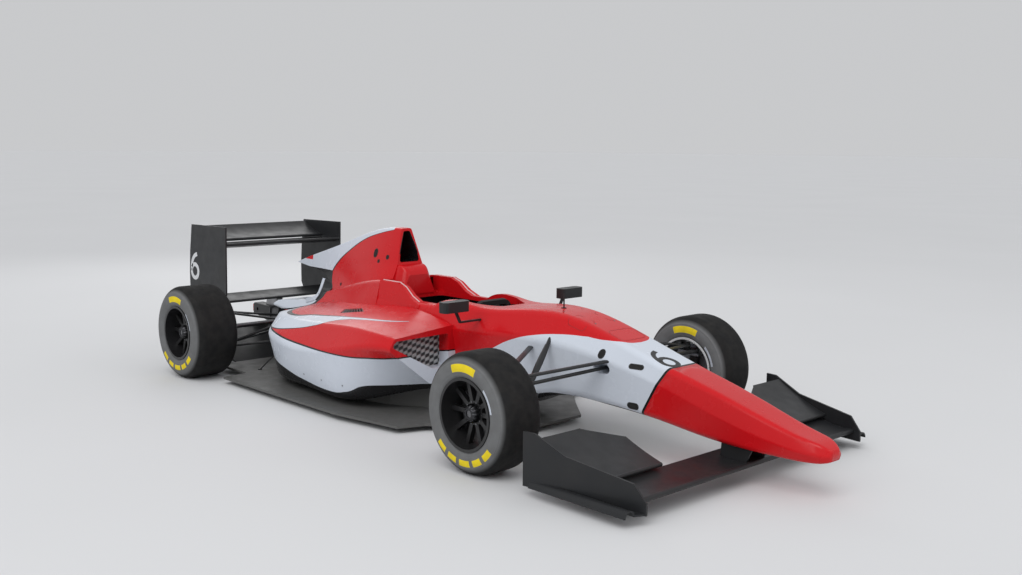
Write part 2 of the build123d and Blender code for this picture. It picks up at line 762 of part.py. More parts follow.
with BuildPart() as front_wing_flaps:
    extrude(aerofoil(side_on(FLAP_INNER_Y), FRONT_FLAP_PROFILE), amount=FLAP_INNER_Y - HALF_WIDTH)
    extrude(polygon(level(100), FLAP_TRIM), amount=300, mode=Mode.SUBTRACT)
    mirror(about=Plane.XZ)
    add(outside_plates.part, mode=Mode.SUBTRACT)
front_wing_flaps.part.label = "front_wing_flaps"
export_step(front_wing_flaps.part, "parts/front_wing_flaps.step")

PYLON_Y = 62.0

with BuildPart() as front_wing_pylons:
    extrude(polygon(side_on(-PYLON_Y), [
        (front(925), 92),
        (front(975), 200),
        (front(800), 220),
        (front(790), 100),
    ]), amount=9)
    mirror(about=Plane.XZ)
    add(hull.part, mode=Mode.SUBTRACT)
    add(front_wing_main_plane.part, mode=Mode.SUBTRACT)
front_wing_pylons.part.label = "front_wing_pylons"
export_step(front_wing_pylons.part, "parts/front_wing_pylons.step")

# Wheels: one row a corner
Corner = namedtuple("Corner", "end hand side axle_x tyre_radius tyre_width")
CORNERS = [
    Corner("front", "left", 1, FRONT_AXLE_X, FRONT_TYRE_RADIUS, FRONT_TYRE_WIDTH),
    Corner("front", "right", -1, FRONT_AXLE_X, FRONT_TYRE_RADIUS, FRONT_TYRE_WIDTH),
    Corner("rear", "left", 1, REAR_AXLE_X, REAR_TYRE_RADIUS, REAR_TYRE_WIDTH),
    Corner("rear", "right", -1, REAR_AXLE_X, REAR_TYRE_RADIUS, REAR_TYRE_WIDTH),
]
BEAD_INSET = 16.0
BULGE_RISE = 50.0
SHOULDER_DROP = 22.0
SHOULDER_INSET = 18.0
TREAD_INSET = 66.0
SPOKE_OUT = 70.0
UPRIGHT_FACE_OUT = HALF_WIDTH - 190.0
UPRIGHT_DEPTH = 72.0
DISC_OUT = HALF_WIDTH - 172.0
FLANGE_DEPTH = 120.0


def tyre_section(plane, corner, inset):
    """Ring section of a tyre as (radius, distance out), inside the skin by the inset."""
    inner = HALF_WIDTH - corner.tyre_width + inset
    outer = HALF_WIDTH - inset
    tread = corner.tyre_radius - inset
    bead = RIM_RADIUS
    with BuildSketch(plane) as ring:
        with BuildLine():
            Line((bead, outer - BEAD_INSET), (bead, inner + BEAD_INSET))
            Line((tread, inner + TREAD_INSET), (tread, outer - TREAD_INSET))
            for edge, way in ((inner, 1), (outer, -1)):
                shoulder = (tread - SHOULDER_DROP, edge + way * SHOULDER_INSET)
                ThreePointArc((bead, edge + way * BEAD_INSET), (bead + BULGE_RISE, edge), shoulder)
                ThreePointArc(shoulder, (tread - SHOULDER_DROP / 3, edge + way * 2 * SHOULDER_INSET),
                              (tread, edge + way * TREAD_INSET))
        make_face()
    return ring.sketch


for corner in CORNERS:
    name = corner.end + "_" + corner.hand
    plane = wheel_plane(corner.side, corner.axle_x, corner.tyre_radius)
    axle = Axis((corner.axle_x, 0, corner.tyre_radius), (0, 1, 0))
    inner = HALF_WIDTH - corner.tyre_width

    with BuildPart() as tyre:
        revolve(tyre_section(plane, corner, 0), axis=axle)
        revolve(tyre_section(plane, corner, TYRE_WALL), axis=axle, mode=Mode.SUBTRACT)
    tyre.part.label = "tyre_" + name
    export_step(tyre.part, "parts/tyre_" + name + ".step")

    barrel = [
        (RIM_RADIUS - RIM_WALL, inner + 6),
        (RIM_LIP_RADIUS, inner + 6),
        (RIM_LIP_RADIUS, inner + 12),
        (RIM_RADIUS, inner + 14),
        (RIM_RADIUS, HALF_WIDTH - 14),
        (RIM_LIP_RADIUS, HALF_WIDTH - 12),
        (RIM_LIP_RADIUS, HALF_WIDTH - 6),
        (RIM_RADIUS - RIM_WALL, HALF_WIDTH - 6),
    ]
    spoke_plane = Plane(origin=(corner.axle_x, corner.side * (HALF_WIDTH - SPOKE_OUT), corner.tyre_radius),
                        x_dir=(1, 0, 0), z_dir=(0, -corner.side, 0))
    with BuildPart() as rim:
        revolve(polygon(plane, barrel), axis=axle)
        with BuildSketch(spoke_plane):
            Circle(56)
            with PolarLocations(104, SPOKE_COUNT):
                Rectangle(112, 21)
        extrude(amount=26)
        with BuildSketch(spoke_plane):
            Circle(50)
        extrude(amount=FLANGE_DEPTH - SPOKE_OUT)
        with BuildSketch(spoke_plane):
            Circle(HUB_RADIUS)
        extrude(amount=200, both=True, mode=Mode.SUBTRACT)
    rim.part.label = "rim_" + name
    export_step(rim.part, "parts/rim_" + name + ".step")

    hub_outline = [
        (0, UPRIGHT_FACE_OUT - UPRIGHT_DEPTH - 8),
        (HUB_RADIUS, UPRIGHT_FACE_OUT - UPRIGHT_DEPTH - 8),
        (HUB_RADIUS, DISC_OUT - 6),
        (DISC_RADIUS, DISC_OUT),
        (DISC_RADIUS, DISC_OUT + DISC_THICKNESS),
        (48, DISC_OUT + DISC_THICKNESS),
        (48, HALF_WIDTH - FLANGE_DEPTH),
        (HUB_RADIUS, HALF_WIDTH - FLANGE_DEPTH),
        (HUB_RADIUS, HALF_WIDTH - SPOKE_OUT),
        (40, HALF_WIDTH - SPOKE_OUT),
        (34, HALF_WIDTH - SPOKE_OUT + 30),
        (0, HALF_WIDTH - SPOKE_OUT + 30),
    ]
    with BuildPart() as hub:
        revolve(polygon(plane, hub_outline), axis=axle)
        if corner.end == "rear":
            with BuildSketch(Plane(origin=(corner.axle_x, corner.side * 40, corner.tyre_radius),
                                   x_dir=(1, 0, 0), z_dir=(0, corner.side, 0))):
                Circle(SHAFT_RADIUS)
            extrude(amount=UPRIGHT_FACE_OUT - UPRIGHT_DEPTH - 40)
    hub.part.label = "hub_" + name
    export_step(hub.part, "parts/hub_" + name + ".step")

# Uprights with calipers
UPRIGHT_HALF_HEIGHT = 104.0
EYE_RADIUS = 17.0
EYE_HEIGHT = 38.0
EYE_RISE = UPRIGHT_HALF_HEIGHT + EYE_HEIGHT / 2 + PANEL_GAP
ARM_TOP = 92.0
CALIPER_SPAN = 66.0
CALIPER_INNER = 84.0
CALIPER_OUTER = 143.0
CALIPER_CHEEK = 30.0


def upright_form(corner):
    """Upright plate with its bearing bore, a caliper over the disc and a steering arm in front."""
    z = corner.tyre_radius
    x = corner.axle_x
    inner = UPRIGHT_FACE_OUT - UPRIGHT_DEPTH
    face = Plane(origin=(x, corner.side * inner, z), x_dir=(corner.side, 0, 0), z_dir=(0, corner.side, 0))
    outline = [(-46, -70), (-30, -UPRIGHT_HALF_HEIGHT), (30, -UPRIGHT_HALF_HEIGHT), (46, -70),
               (46, 70), (30, UPRIGHT_HALF_HEIGHT), (-30, UPRIGHT_HALF_HEIGHT), (-46, 70)]
    extrude(polygon(face, outline), amount=UPRIGHT_DEPTH)
    # Caliper behind the axle: a sector of a ring over the disc's edge with a slot for the disc.
    start = radians(180 + CALIPER_SPAN / 2)
    caliper_plane = Plane(origin=(x, 0, z), x_dir=(cos(start), 0, sin(start)),
                          z_dir=(-corner.side * sin(start), 0, corner.side * cos(start)))
    middle = DISC_OUT + DISC_THICKNESS / 2
    half_width = DISC_THICKNESS / 2 + CALIPER_CHEEK
    bridge = [
        (CALIPER_INNER, middle - half_width),
        (CALIPER_OUTER, middle - half_width),
        (CALIPER_OUTER, middle + half_width),
        (CALIPER_INNER, middle + half_width),
    ]
    revolve(polygon(caliper_plane, bridge, 8), axis=Axis((x, 0, z), (0, 1, 0)), revolution_arc=CALIPER_SPAN)
    with Locations((x - CALIPER_INNER + 15, corner.side * (UPRIGHT_FACE_OUT - 16), z)):
        Box(74, 30, 80)
    slot_axis = Location((x, corner.side * (DISC_OUT + DISC_THICKNESS / 2 - 2), z), (90, 0, 0))
    with Locations(slot_axis):
        Cylinder(DISC_RADIUS + 6, DISC_THICKNESS + 16, mode=Mode.SUBTRACT)
    if corner.end == "front":
        with Locations((x + ARM_LENGTH / 2, corner.side * (KINGPIN_Y - 8), z + ARM_TOP - 7)):
            Box(ARM_LENGTH + 36, 34, 14)
    with Locations((x, corner.side * UPRIGHT_FACE_OUT, z)):
        Cylinder(HUB_RADIUS + BEARING_GAP, 400, rotation=(90, 0, 0), mode=Mode.SUBTRACT)


with BuildPart() as front_upright_left:
    upright_form(CORNERS[0])
front_upright_left.part.label = "front_upright_left"
export_step(front_upright_left.part, "parts/front_upright_left.step")

with BuildPart() as front_upright_right:
    upright_form(CORNERS[1])
front_upright_right.part.label = "front_upright_right"
export_step(front_upright_right.part, "parts/front_upright_right.step")

with BuildPart() as rear_uprights:
    upright_form(CORNERS[2])
    mirror(about=Plane.XZ)
rear_uprights.part.label = "rear_uprights"
export_step(rear_uprights.part, "parts/rear_uprights.step")

# Steering rack and track rods, one moving piece
ROD_END = (front(ARM_LENGTH), KINGPIN_Y - 8, FRONT_TYRE_RADIUS + ARM_TOP + 0.5 + 12)

with BuildPart() as steering_rack:
    with Locations((front(RACK_STATION), 0, RACK_Z)):
        Cylinder(RACK_RADIUS, 260, rotation=(90, 0, 0))
    for side in (-1, 1):
        strut((front(RACK_STATION), side * 112, RACK_Z), (ROD_END[0], side * ROD_END[1], ROD_END[2]),
              2 * TRACK_ROD_RADIUS, 2 * TRACK_ROD_RADIUS)
        ball((front(RACK_STATION), side * 118, RACK_Z), RACK_RADIUS)
        ball((ROD_END[0], side * ROD_END[1], ROD_END[2]), 12)
steering_rack.part.label = "steering_rack"
export_step(steering_rack.part, "parts/steering_rack.step")

# Suspension arms: inner points lie inside the piece they bolt to and are trimmed to its skin
Arm = namedtuple("Arm", "x_ahead x_behind y_ahead y_behind z_ahead z_behind")
FRONT_UPPER = Arm(front(205), front(-330), 120, 150, 464, 476)
FRONT_LOWER = Arm(front(170), front(-320), 90, 110, 250, 226)
REAR_UPPER = Arm(rear(210), rear(-200), 60, 50, 292, 296)
REAR_LOWER = Arm(rear(210), rear(-190), 60, 50, 196, 206)
ARM_CHORD = 34.0
ARM_THICKNESS = 15.0
REAR_EYE_Y = UPRIGHT_FACE_OUT - UPRIGHT_DEPTH / 2


def wishbone(arm, x, y, z):
    """Left wishbone: two bars from the inner points of the arm out to one eye."""
    strut((arm.x_ahead, arm.y_ahead, arm.z_ahead), (x, y, z), ARM_CHORD, ARM_THICKNESS)
    strut((arm.x_behind, arm.y_behind, arm.z_behind), (x, y, z), ARM_CHORD, ARM_THICKNESS)
    with Locations((x, y, z)):
        Cylinder(EYE_RADIUS, EYE_HEIGHT)


with BuildPart() as upper_wishbones:
    wishbone(FRONT_UPPER, FRONT_AXLE_X, KINGPIN_Y, FRONT_TYRE_RADIUS + EYE_RISE)
    wishbone(REAR_UPPER, REAR_AXLE_X, REAR_EYE_Y, REAR_TYRE_RADIUS + EYE_RISE)
    add(hull.part, mode=Mode.SUBTRACT)
    add(gearbox.part, mode=Mode.SUBTRACT)
    split(bisect_by=Plane.XZ.offset(-40), keep=Keep.BOTTOM)
    mirror(about=Plane.XZ)
upper_wishbones.part.label = "upper_wishbones"
export_step(upper_wishbones.part, "parts/upper_wishbones.step")

with BuildPart() as lower_wishbones:
    wishbone(FRONT_LOWER, FRONT_AXLE_X, KINGPIN_Y, FRONT_TYRE_RADIUS - EYE_RISE)
    wishbone(REAR_LOWER, REAR_AXLE_X, REAR_EYE_Y, REAR_TYRE_RADIUS - EYE_RISE)
    add(hull.part, mode=Mode.SUBTRACT)
    add(gearbox.part, mode=Mode.SUBTRACT)
    mirror(about=Plane.XZ)
lower_wishbones.part.label = "lower_wishbones"
export_step(lower_wishbones.part, "parts/lower_wishbones.step")

with BuildPart() as push_rods:
    strut((front(-6), KINGPIN_Y - 76, FRONT_TYRE_RADIUS - EYE_RISE + 6), (front(-190), 150, 560), 22, 18)
    strut((rear(10), REAR_EYE_Y - 76, REAR_TYRE_RADIUS - EYE_RISE + 6), (rear(120), 60, 336), 22, 18)
    add(hull.part, mode=Mode.SUBTRACT)
    add(gearbox.part, mode=Mode.SUBTRACT)
    mirror(about=Plane.XZ)
    add(lower_wishbones.part, mode=Mode.SUBTRACT)
push_rods.part.label = "push_rods"
export_step(push_rods.part, "parts/push_rods.step")

# Mirrors and antenna
MIRROR_X = front(-640)
STAY_CHORD = 14.0
STAY_X = MIRROR_X - 24
STAY = [(180, 560), (372, 560), (412, 634), (400, 640), (366, 570), (180, 570)]

with BuildPart() as mirrors:
    with BuildSketch(level(628)):
        with Locations((MIRROR_X, 430)):
            RectangleRounded(66, 170, 22)
    extrude(amount=56)
    extrude(polygon(across(STAY_X - STAY_CHORD / 2), STAY), amount=STAY_CHORD)
    add(hull.part, mode=Mode.SUBTRACT)
    mirror(about=Plane.XZ)
mirrors.part.label = "mirrors"
export_step(mirrors.part, "parts/mirrors.step")

with BuildPart() as antenna:
    with BuildSketch(level(600)):
        with Locations((front(-267), 0)):
            Circle(4)
    extrude(amount=124)
    with BuildSketch(level(600)):
        with Locations((front(-267), 0)):
            Circle(14)
    extrude(amount=52)
    add(hull.part, mode=Mode.SUBTRACT)
antenna.part.label = "antenna"
export_step(antenna.part, "parts/antenna.step")
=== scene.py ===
import json
import math

import bmesh
import bpy
from mathutils import Matrix, Vector
from mathutils.bvhtree import BVHTree


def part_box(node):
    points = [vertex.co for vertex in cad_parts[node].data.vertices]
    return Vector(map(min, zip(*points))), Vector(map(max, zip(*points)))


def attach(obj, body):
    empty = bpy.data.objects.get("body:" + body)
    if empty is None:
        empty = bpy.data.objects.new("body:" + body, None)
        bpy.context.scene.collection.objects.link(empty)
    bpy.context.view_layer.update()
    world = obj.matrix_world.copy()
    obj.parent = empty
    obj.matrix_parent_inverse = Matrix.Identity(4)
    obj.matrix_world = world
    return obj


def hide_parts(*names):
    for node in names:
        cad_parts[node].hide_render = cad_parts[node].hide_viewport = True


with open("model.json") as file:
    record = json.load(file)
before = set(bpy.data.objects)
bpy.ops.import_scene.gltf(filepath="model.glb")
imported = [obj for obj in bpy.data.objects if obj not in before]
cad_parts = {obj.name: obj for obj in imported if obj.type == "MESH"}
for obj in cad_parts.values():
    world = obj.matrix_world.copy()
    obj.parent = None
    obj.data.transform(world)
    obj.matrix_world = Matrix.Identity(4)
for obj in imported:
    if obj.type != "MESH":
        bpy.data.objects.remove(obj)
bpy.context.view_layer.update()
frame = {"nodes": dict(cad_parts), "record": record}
nodes = frame["nodes"]

scene = bpy.context.scene
scene.view_settings.view_transform = "Standard"


def middle(node):
    """Middle of a CAD node's box."""
    low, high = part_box(node)
    return (low + high) / 2


AXLE_X = middle("tyre_front_left").x
HALF_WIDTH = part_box("tyre_front_left")[1].y

# Colours, linear, and the lacquer over the body's
RED = (0.56, 0.006, 0.010, 1)
WHITE = (0.60, 0.645, 0.72, 1)
BLACK = (0.010, 0.010, 0.011, 1)
CARBON = (0.017, 0.018, 0.020, 1)
FLOOR_GREY = (0.110, 0.110, 0.107, 1)
YELLOW = (0.80, 0.62, 0.02, 1)
BODY_COAT = 0.06


class Paint:
    """One material, with short ways to add and link its nodes."""

    def __init__(self, name, rough=0.4, metal=0.0, coat=0.0):
        self.mat = bpy.data.materials.new(name)
        self.mat.use_nodes = True
        self.tree = self.mat.node_tree
        self.bsdf = self.tree.nodes["Principled BSDF"]
        self.bsdf.inputs["Roughness"].default_value = rough
        self.bsdf.inputs["Metallic"].default_value = metal
        self.bsdf.inputs["Coat Weight"].default_value = coat
        self.bsdf.inputs["Coat Roughness"].default_value = 0.06
        coordinates = self.tree.nodes.new("ShaderNodeTexCoord")
        self.place = coordinates.outputs["Object"]
        split = self.tree.nodes.new("ShaderNodeSeparateXYZ")
        self.tree.links.new(self.place, split.inputs[0])
        self.x, self.y, self.z = split.outputs

    def feed(self, socket, value):
        if isinstance(value, bpy.types.NodeSocket):
            self.tree.links.new(value, socket)
        else:
            socket.default_value = value

    def math(self, operation, *values):
        node = self.tree.nodes.new("ShaderNodeMath")
        node.operation = operation
        for socket, value in zip(node.inputs, values):
            self.feed(socket, value)
        return node.outputs[0]

    def both(self, *masks):
        """Mask that is set where all the masks are."""
        result = masks[0]
        for mask in masks[1:]:
            result = self.math("MULTIPLY", result, mask)
        return result

    def over(self, value, level):
        return self.math("GREATER_THAN", value, level)

    def under(self, value, level):
        return self.math("LESS_THAN", value, level)

    def near(self, value, level, width):
        return self.math("COMPARE", value, level, width)

    def scaled(self, value, low, high, to_low=0.0, to_high=1.0):
        node = self.tree.nodes.new("ShaderNodeMapRange")
        self.feed(node.inputs["Value"], value)
        for name, number in zip(("From Min", "From Max", "To Min", "To Max"), (low, high, to_low, to_high)):
            node.inputs[name].default_value = number
        return node.outputs[0]

    def line(self, along, start, end):
        """Straight line through two (along, value) points, level beyond them."""
        return self.scaled(along, start[0], end[0], start[1], end[1])

    def profile(self, along, points):
        """Smooth line through (along, value) points."""
        starts = [point[0] for point in points]
        values = [point[1] for point in points]
        low, high = min(values), max(values)
        node = self.tree.nodes.new("ShaderNodeFloatCurve")
        line = node.mapping.curves[0]
        spots = [((a - starts[0]) / (starts[-1] - starts[0]), (v - low) / (high - low)) for a, v in points]
        line.points[0].location = spots[0]
        line.points[1].location = spots[-1]
        for spot in spots[1:-1]:
            line.points.new(*spot)
        for point in line.points:
            point.handle_type = "AUTO_CLAMPED"
        node.mapping.update()
        self.feed(node.inputs["Value"], self.scaled(along, starts[0], starts[-1]))
        return self.scaled(node.outputs[0], 0.0, 1.0, low, high)

    def mix(self, mask, first, second):
        node = self.tree.nodes.new("ShaderNodeMix")
        node.data_type = "RGBA"
        self.feed(node.inputs[0], mask)
        self.feed(node.inputs[6], first)
        self.feed(node.inputs[7], second)
        return node.outputs[2]

    def noise(self, scale, detail=3.0):
        node = self.tree.nodes.new("ShaderNodeTexNoise")
        node.inputs["Scale"].default_value = scale
        node.inputs["Detail"].default_value = detail
        self.feed(node.inputs["Vector"], self.place)
        return node.outputs["Fac"]

    def color(self, base, dirt=(0.05, 0.045, 0.04, 1), amount=0.10, scale=6.0):
        """Base colour with faint blotches of dust."""
        dust = self.scaled(self.noise(scale, 3.0), 0.35, 0.75, 0.0, amount)
        self.feed(self.bsdf.inputs["Base Color"], self.mix(dust, base, dirt))

    def rough(self, low, high, scale=14.0):
        self.feed(self.bsdf.inputs["Roughness"], self.scaled(self.noise(scale), 0.3, 0.7, low, high))

    def bump(self, height, strength, distance):
        node = self.tree.nodes.new("ShaderNodeBump")
        node.inputs["Strength"].default_value = strength
        node.inputs["Distance"].default_value = distance
        self.feed(node.inputs["Height"], height)
        self.feed(self.bsdf.inputs["Normal"], node.outputs[0])

    def twill(self, cell):
        """Height of a 2 by 2 twill weave on the faces along the car and across it."""
        def tow(a, b):
            run = self.math("ADD", self.math("DIVIDE", a, cell), self.math("DIVIDE", b, cell))
            return self.math("PINGPONG", run, 1.0)
        slant = self.math("SUBTRACT", self.z, self.y)
        return self.math("MULTIPLY", tow(self.x, slant), tow(self.x, self.math("MULTIPLY", slant, -1.0)))

    def station(self):
        """Distance ahead of the front axle."""
        return self.math("SUBTRACT", self.x, AXLE_X)

    def inward(self):
        """Mask of the faces that look towards the car's middle plane or straight along the car."""
        geometry = self.tree.nodes.new("ShaderNodeNewGeometry")
        split = self.tree.nodes.new("ShaderNodeSeparateXYZ")
        self.tree.links.new(geometry.outputs["True Normal"], split.inputs[0])
        across = self.under(self.math("MULTIPLY", split.outputs[1], self.y), -0.004)
        along = self.over(self.math("ABSOLUTE", split.outputs[0]), 0.8)
        return self.math("MAXIMUM", across, along)


def glossy(paint, base):
    """Lacquer over the base colour, with a trace of dust and orange peel."""
    paint.bsdf.inputs["Specular IOR Level"].default_value = 0.24
    paint.color(base, amount=0.05, scale=2.5)
    paint.rough(0.20, 0.30)
    paint.bump(paint.noise(420.0, 2.0), 0.05, 0.0006)
    return paint.mat


# Air intake: its inner walls, painted black as painted shade in the throat, as (z, half width), between two
# heights and around one station
THROAT_WALL = [(0.780, 0.080), (0.835, 0.0700), (0.966, 0.0245)]
THROAT_FOOT = 0.783
THROAT_TOP = 0.9655
THROAT_STATION = -1.655
THROAT_REACH = 0.085


def throat_shade(paint):
    """Mask of the air intake's inner walls, where the black painted shade goes."""
    width = paint.profile(paint.z, THROAT_WALL)
    inside = paint.under(paint.math("ABSOLUTE", paint.y), width)
    return paint.both(inside, paint.over(paint.z, THROAT_FOOT), paint.under(paint.z, THROAT_TOP),
                      paint.near(paint.station(), THROAT_STATION, THROAT_REACH))


# Body paint: one material for each painted panel
def paint_plain():
    paint = Paint("paint_red", coat=BODY_COAT)
    return glossy(paint, RED)


def paint_white():
    paint = Paint("paint_white", coat=BODY_COAT)
    return glossy(paint, WHITE)


def paint_hoop():
    paint = Paint("paint_hoop", coat=BODY_COAT)
    # Painted shade: the intake's inner walls are black
    return glossy(paint, paint.mix(throat_shade(paint), RED, BLACK))


# Tub: lower edge of the red, as (station, z)
TUB_EDGE = [
    (-1.6, 0.06), (-1.1, 0.22), (-0.85, 0.315), (-0.587, 0.413), (-0.425, 0.488), (-0.279, 0.530),
    (-0.10, 0.553), (0.03, 0.5565), (0.09, 0.535), (0.16, 0.50), (0.30, 0.45),
]
# Red tongue on its top, as (station, half width)
TUB_TONGUE = [
    (-0.30, 0.36), (-0.05, 0.174), (0.03, 0.151), (0.08, 0.144), (0.138, 0.134),
    (0.190, 0.120), (0.216, 0.106), (0.236, 0.085), (0.248, 0.058), (0.256, 0.0),
]
# Top of the black keel, as (station, z)
TUB_KEEL = [
    (-0.9, 0.070), (-0.62, 0.105), (-0.40, 0.160), (-0.11, 0.246), (0.15, 0.246), (0.46, 0.224),
]
# Ends of the nose joint, as (station, z), and the width of the black seam behind it
JOINT_TOP = (0.530, 0.480)
JOINT_BOTTOM = (0.376, 0.200)
JOINT_SEAM = 0.012
# Bare lining inside the cockpit
LINING_STATION = -1.0
LINING_REACH = 0.56
LINING_TOP = 0.575
LINING_FLOOR_HALF = 0.165


def paint_tub():
    paint = Paint("paint_tub", coat=BODY_COAT)
    s = paint.station()
    side = paint.math("ABSOLUTE", paint.y)
    edge = paint.profile(s, TUB_EDGE)
    tongue = paint.profile(s, TUB_TONGUE)
    tip = TUB_TONGUE[-1][0]
    red = paint.both(paint.over(paint.z, edge), paint.under(side, tongue), paint.under(s, tip))
    lean = math.atan2(JOINT_TOP[0] - JOINT_BOTTOM[0], JOINT_TOP[1] - JOINT_BOTTOM[1])
    ahead = paint.math("MULTIPLY", paint.math("SUBTRACT", s, JOINT_TOP[0]), math.cos(lean))
    above = paint.math("MULTIPLY", paint.math("SUBTRACT", paint.z, JOINT_TOP[1]), -math.sin(lean))
    seam = paint.over(paint.math("ADD", ahead, above), -JOINT_SEAM)
    keel = paint.under(paint.z, paint.profile(s, TUB_KEEL))
    walls = paint.math("MAXIMUM", paint.inward(), paint.under(side, LINING_FLOOR_HALF))
    lining = paint.both(walls, paint.near(s, LINING_STATION, LINING_REACH), paint.under(paint.z, LINING_TOP))
    base = paint.mix(red, WHITE, RED)
    base = paint.mix(keel, base, BLACK)
    base = paint.mix(seam, base, BLACK)
    base = paint.mix(lining, base, CARBON)
    return glossy(paint, base)


# Engine cover: front edge of the white on the fin, as (z, station)
FIN_EDGE = [
    (0.58, -2.36), (0.654, -2.329), (0.729, -2.265), (0.815, -2.138), (0.902, -1.956), (0.945, -1.80),
    (0.985, -1.60),
]
FIN_FOOT = 0.668
FIN_SEAM = 0.007
# Front edges of the white strip and of the black painted shade in the gap at the tail, as (z, station)
STRIP_EDGE = [(0.360, -2.95), (0.379, -2.759), (0.414, -2.554), (0.453, -2.400), (0.475, -2.365)]
GAP_SHADE_EDGE = [
    (0.350, -2.95), (0.369, -2.759), (0.402, -2.554), (0.440, -2.385), (0.470, -2.340), (0.510, -2.290),
    (0.560, -2.274), (0.600, -2.300), (0.672, -2.318),
]
# Red band on the fin's tip
BAND_STATION = -2.645
BAND_REACH = 0.045
BAND_FOOT = 0.716


def paint_cover():
    paint = Paint("paint_cover", coat=BODY_COAT)
    s = paint.station()
    fin = paint.profile(paint.z, FIN_EDGE)
    on_fin = paint.over(paint.z, FIN_FOOT)
    white = paint.both(on_fin, paint.under(s, fin))
    seam = paint.both(on_fin, paint.near(s, fin, FIN_SEAM))
    # Painted shade: black on the cover ahead of the white strip, for the shadowed gap at the tail
    gap_shade = paint.both(paint.under(paint.z, FIN_FOOT), paint.under(s, paint.profile(paint.z, GAP_SHADE_EDGE)))
    strip_top = STRIP_EDGE[-1][0]
    tail = paint.both(paint.under(paint.z, strip_top), paint.under(s, paint.profile(paint.z, STRIP_EDGE)))
    band = paint.both(paint.near(s, BAND_STATION, BAND_REACH), paint.over(paint.z, BAND_FOOT), white)
    base = paint.mix(white, RED, WHITE)
    base = paint.mix(seam, base, BLACK)
    base = paint.mix(gap_shade, base, BLACK)
    base = paint.mix(tail, base, WHITE)
    base = paint.mix(band, base, RED)
    # Painted shade: the intake's inner walls are black
    base = paint.mix(throat_shade(paint), base, BLACK)
    return glossy(paint, base)


# Side pods: white under the belt and black under the sill, as (station, z)
POD_BELT = [
    (-2.42, 0.362), (-2.115, 0.354), (-1.79, 0.343), (-1.368, 0.341), (-1.05, 0.355), (-0.84, 0.380),
]
POD_SILL = [
    (-2.42, 0.215), (-1.973, 0.167), (-1.72, 0.131), (-1.432, 0.115), (-1.289, 0.131), (-1.129, 0.186),
    (-0.995, 0.198), (-0.84, 0.214),
]
BELT_SEAM = 0.004
# White swoosh between two lines, as (station, z), with seams of (station, half width)
SWOOSH_TOP = [
    (-2.42, 0.47), (-2.30, 0.462), (-2.173, 0.454), (-1.829, 0.478), (-1.49, 0.508), (-1.243, 0.526),
    (-1.02, 0.533), (-0.95, 0.534),
]
SWOOSH_FOOT = [
    (-2.42, 0.355), (-2.244, 0.361), (-1.887, 0.404), (-1.646, 0.453), (-1.492, 0.496), (-1.275, 0.519),
    (-1.02, 0.5315), (-0.95, 0.535),
]
SWOOSH_SEAM = [(-2.2, 0.0030), (-1.3, 0.0003)]
SWOOSH_TIP = -1.02
# Louvre panel: its inner and outer edges from the rear forwards, as (station, distance from the middle)
LOUVRE_INNER = [(-1.707, 0.374), (-1.569, 0.349)]
LOUVRE_OUTER = [(-1.657, 0.443), (-1.468, 0.407)]
LOUVRE_FOOT = 0.445
LOUVRE_GREY = (0.075, 0.080, 0.080, 1)
# Its slots, painted black as painted shade below the plane of the pod's top, which rises along (station, z)
# and falls outwards
SLOT_STATION = -1.588
SLOT_REACH = 0.125
SLOT_OUT = 0.395
SLOT_HALF = 0.053
SLOT_DEPTH = 0.007
SLOT_SHADE = (0.006, 0.006, 0.006, 1)
POD_TOP = [(-1.8, 0.496), (-1.4, 0.536)]
POD_TOP_OUT = 0.42
POD_TOP_FALL = 0.2175


def paint_pod():
    paint = Paint("paint_pod", coat=BODY_COAT)
    s = paint.station()
    side = paint.math("ABSOLUTE", paint.y)
    belt_line = paint.profile(s, POD_BELT)
    high = paint.profile(s, SWOOSH_TOP)
    low = paint.profile(s, SWOOSH_FOOT)
    behind = paint.under(s, SWOOSH_TIP)
    swoosh = paint.both(paint.over(paint.z, low), paint.under(paint.z, high), behind)
    thin = paint.line(s, *SWOOSH_SEAM)
    seams = paint.math("MAXIMUM", paint.near(paint.z, low, thin), paint.near(paint.z, high, thin))
    base = paint.mix(swoosh, RED, WHITE)
    base = paint.mix(paint.both(seams, behind), base, BLACK)
    base = paint.mix(paint.under(paint.z, belt_line), base, WHITE)
    base = paint.mix(paint.near(paint.z, belt_line, BELT_SEAM), base, BLACK)
    base = paint.mix(paint.under(paint.z, paint.profile(s, POD_SILL)), base, BLACK)
    outward = paint.math("MULTIPLY", paint.math("SUBTRACT", side, POD_TOP_OUT), -POD_TOP_FALL)
    top = paint.math("ADD", paint.line(s, *POD_TOP), outward)
    above_foot = paint.over(paint.z, LOUVRE_FOOT)
    slots = paint.both(paint.near(s, SLOT_STATION, SLOT_REACH), paint.near(side, SLOT_OUT, SLOT_HALF),
                       paint.under(paint.z, paint.math("SUBTRACT", top, SLOT_DEPTH)), above_foot)
    rear_end = [(out, station) for station, out in (LOUVRE_INNER[0], LOUVRE_OUTER[0])]
    front_end = [(out, station) for station, out in (LOUVRE_INNER[1], LOUVRE_OUTER[1])]
    panel = paint.both(paint.over(side, paint.line(s, *LOUVRE_INNER)),
                       paint.under(side, paint.line(s, *LOUVRE_OUTER)),
                       paint.over(s, paint.line(side, *rear_end)),
                       paint.under(s, paint.line(side, *front_end)), above_foot)
    base = paint.mix(panel, base, LOUVRE_GREY)
    # Painted shade: the louvre slots' walls below the pod's top are painted near-black
    base = paint.mix(slots, base, SLOT_SHADE)
    return glossy(paint, base)


# Other finishes
def carbon(name, base, low, high, cell=0.004):
    paint = Paint(name, coat=0.05)
    paint.bsdf.inputs["Specular IOR Level"].default_value = 0.3
    weave = paint.twill(cell)
    paint.color(paint.mix(paint.scaled(weave, 0.0, 1.0, 0.0, 0.35), base, BLACK), amount=0.14)
    paint.rough(low, high)
    paint.bump(weave, 0.12, 0.0004)
    return paint.mat


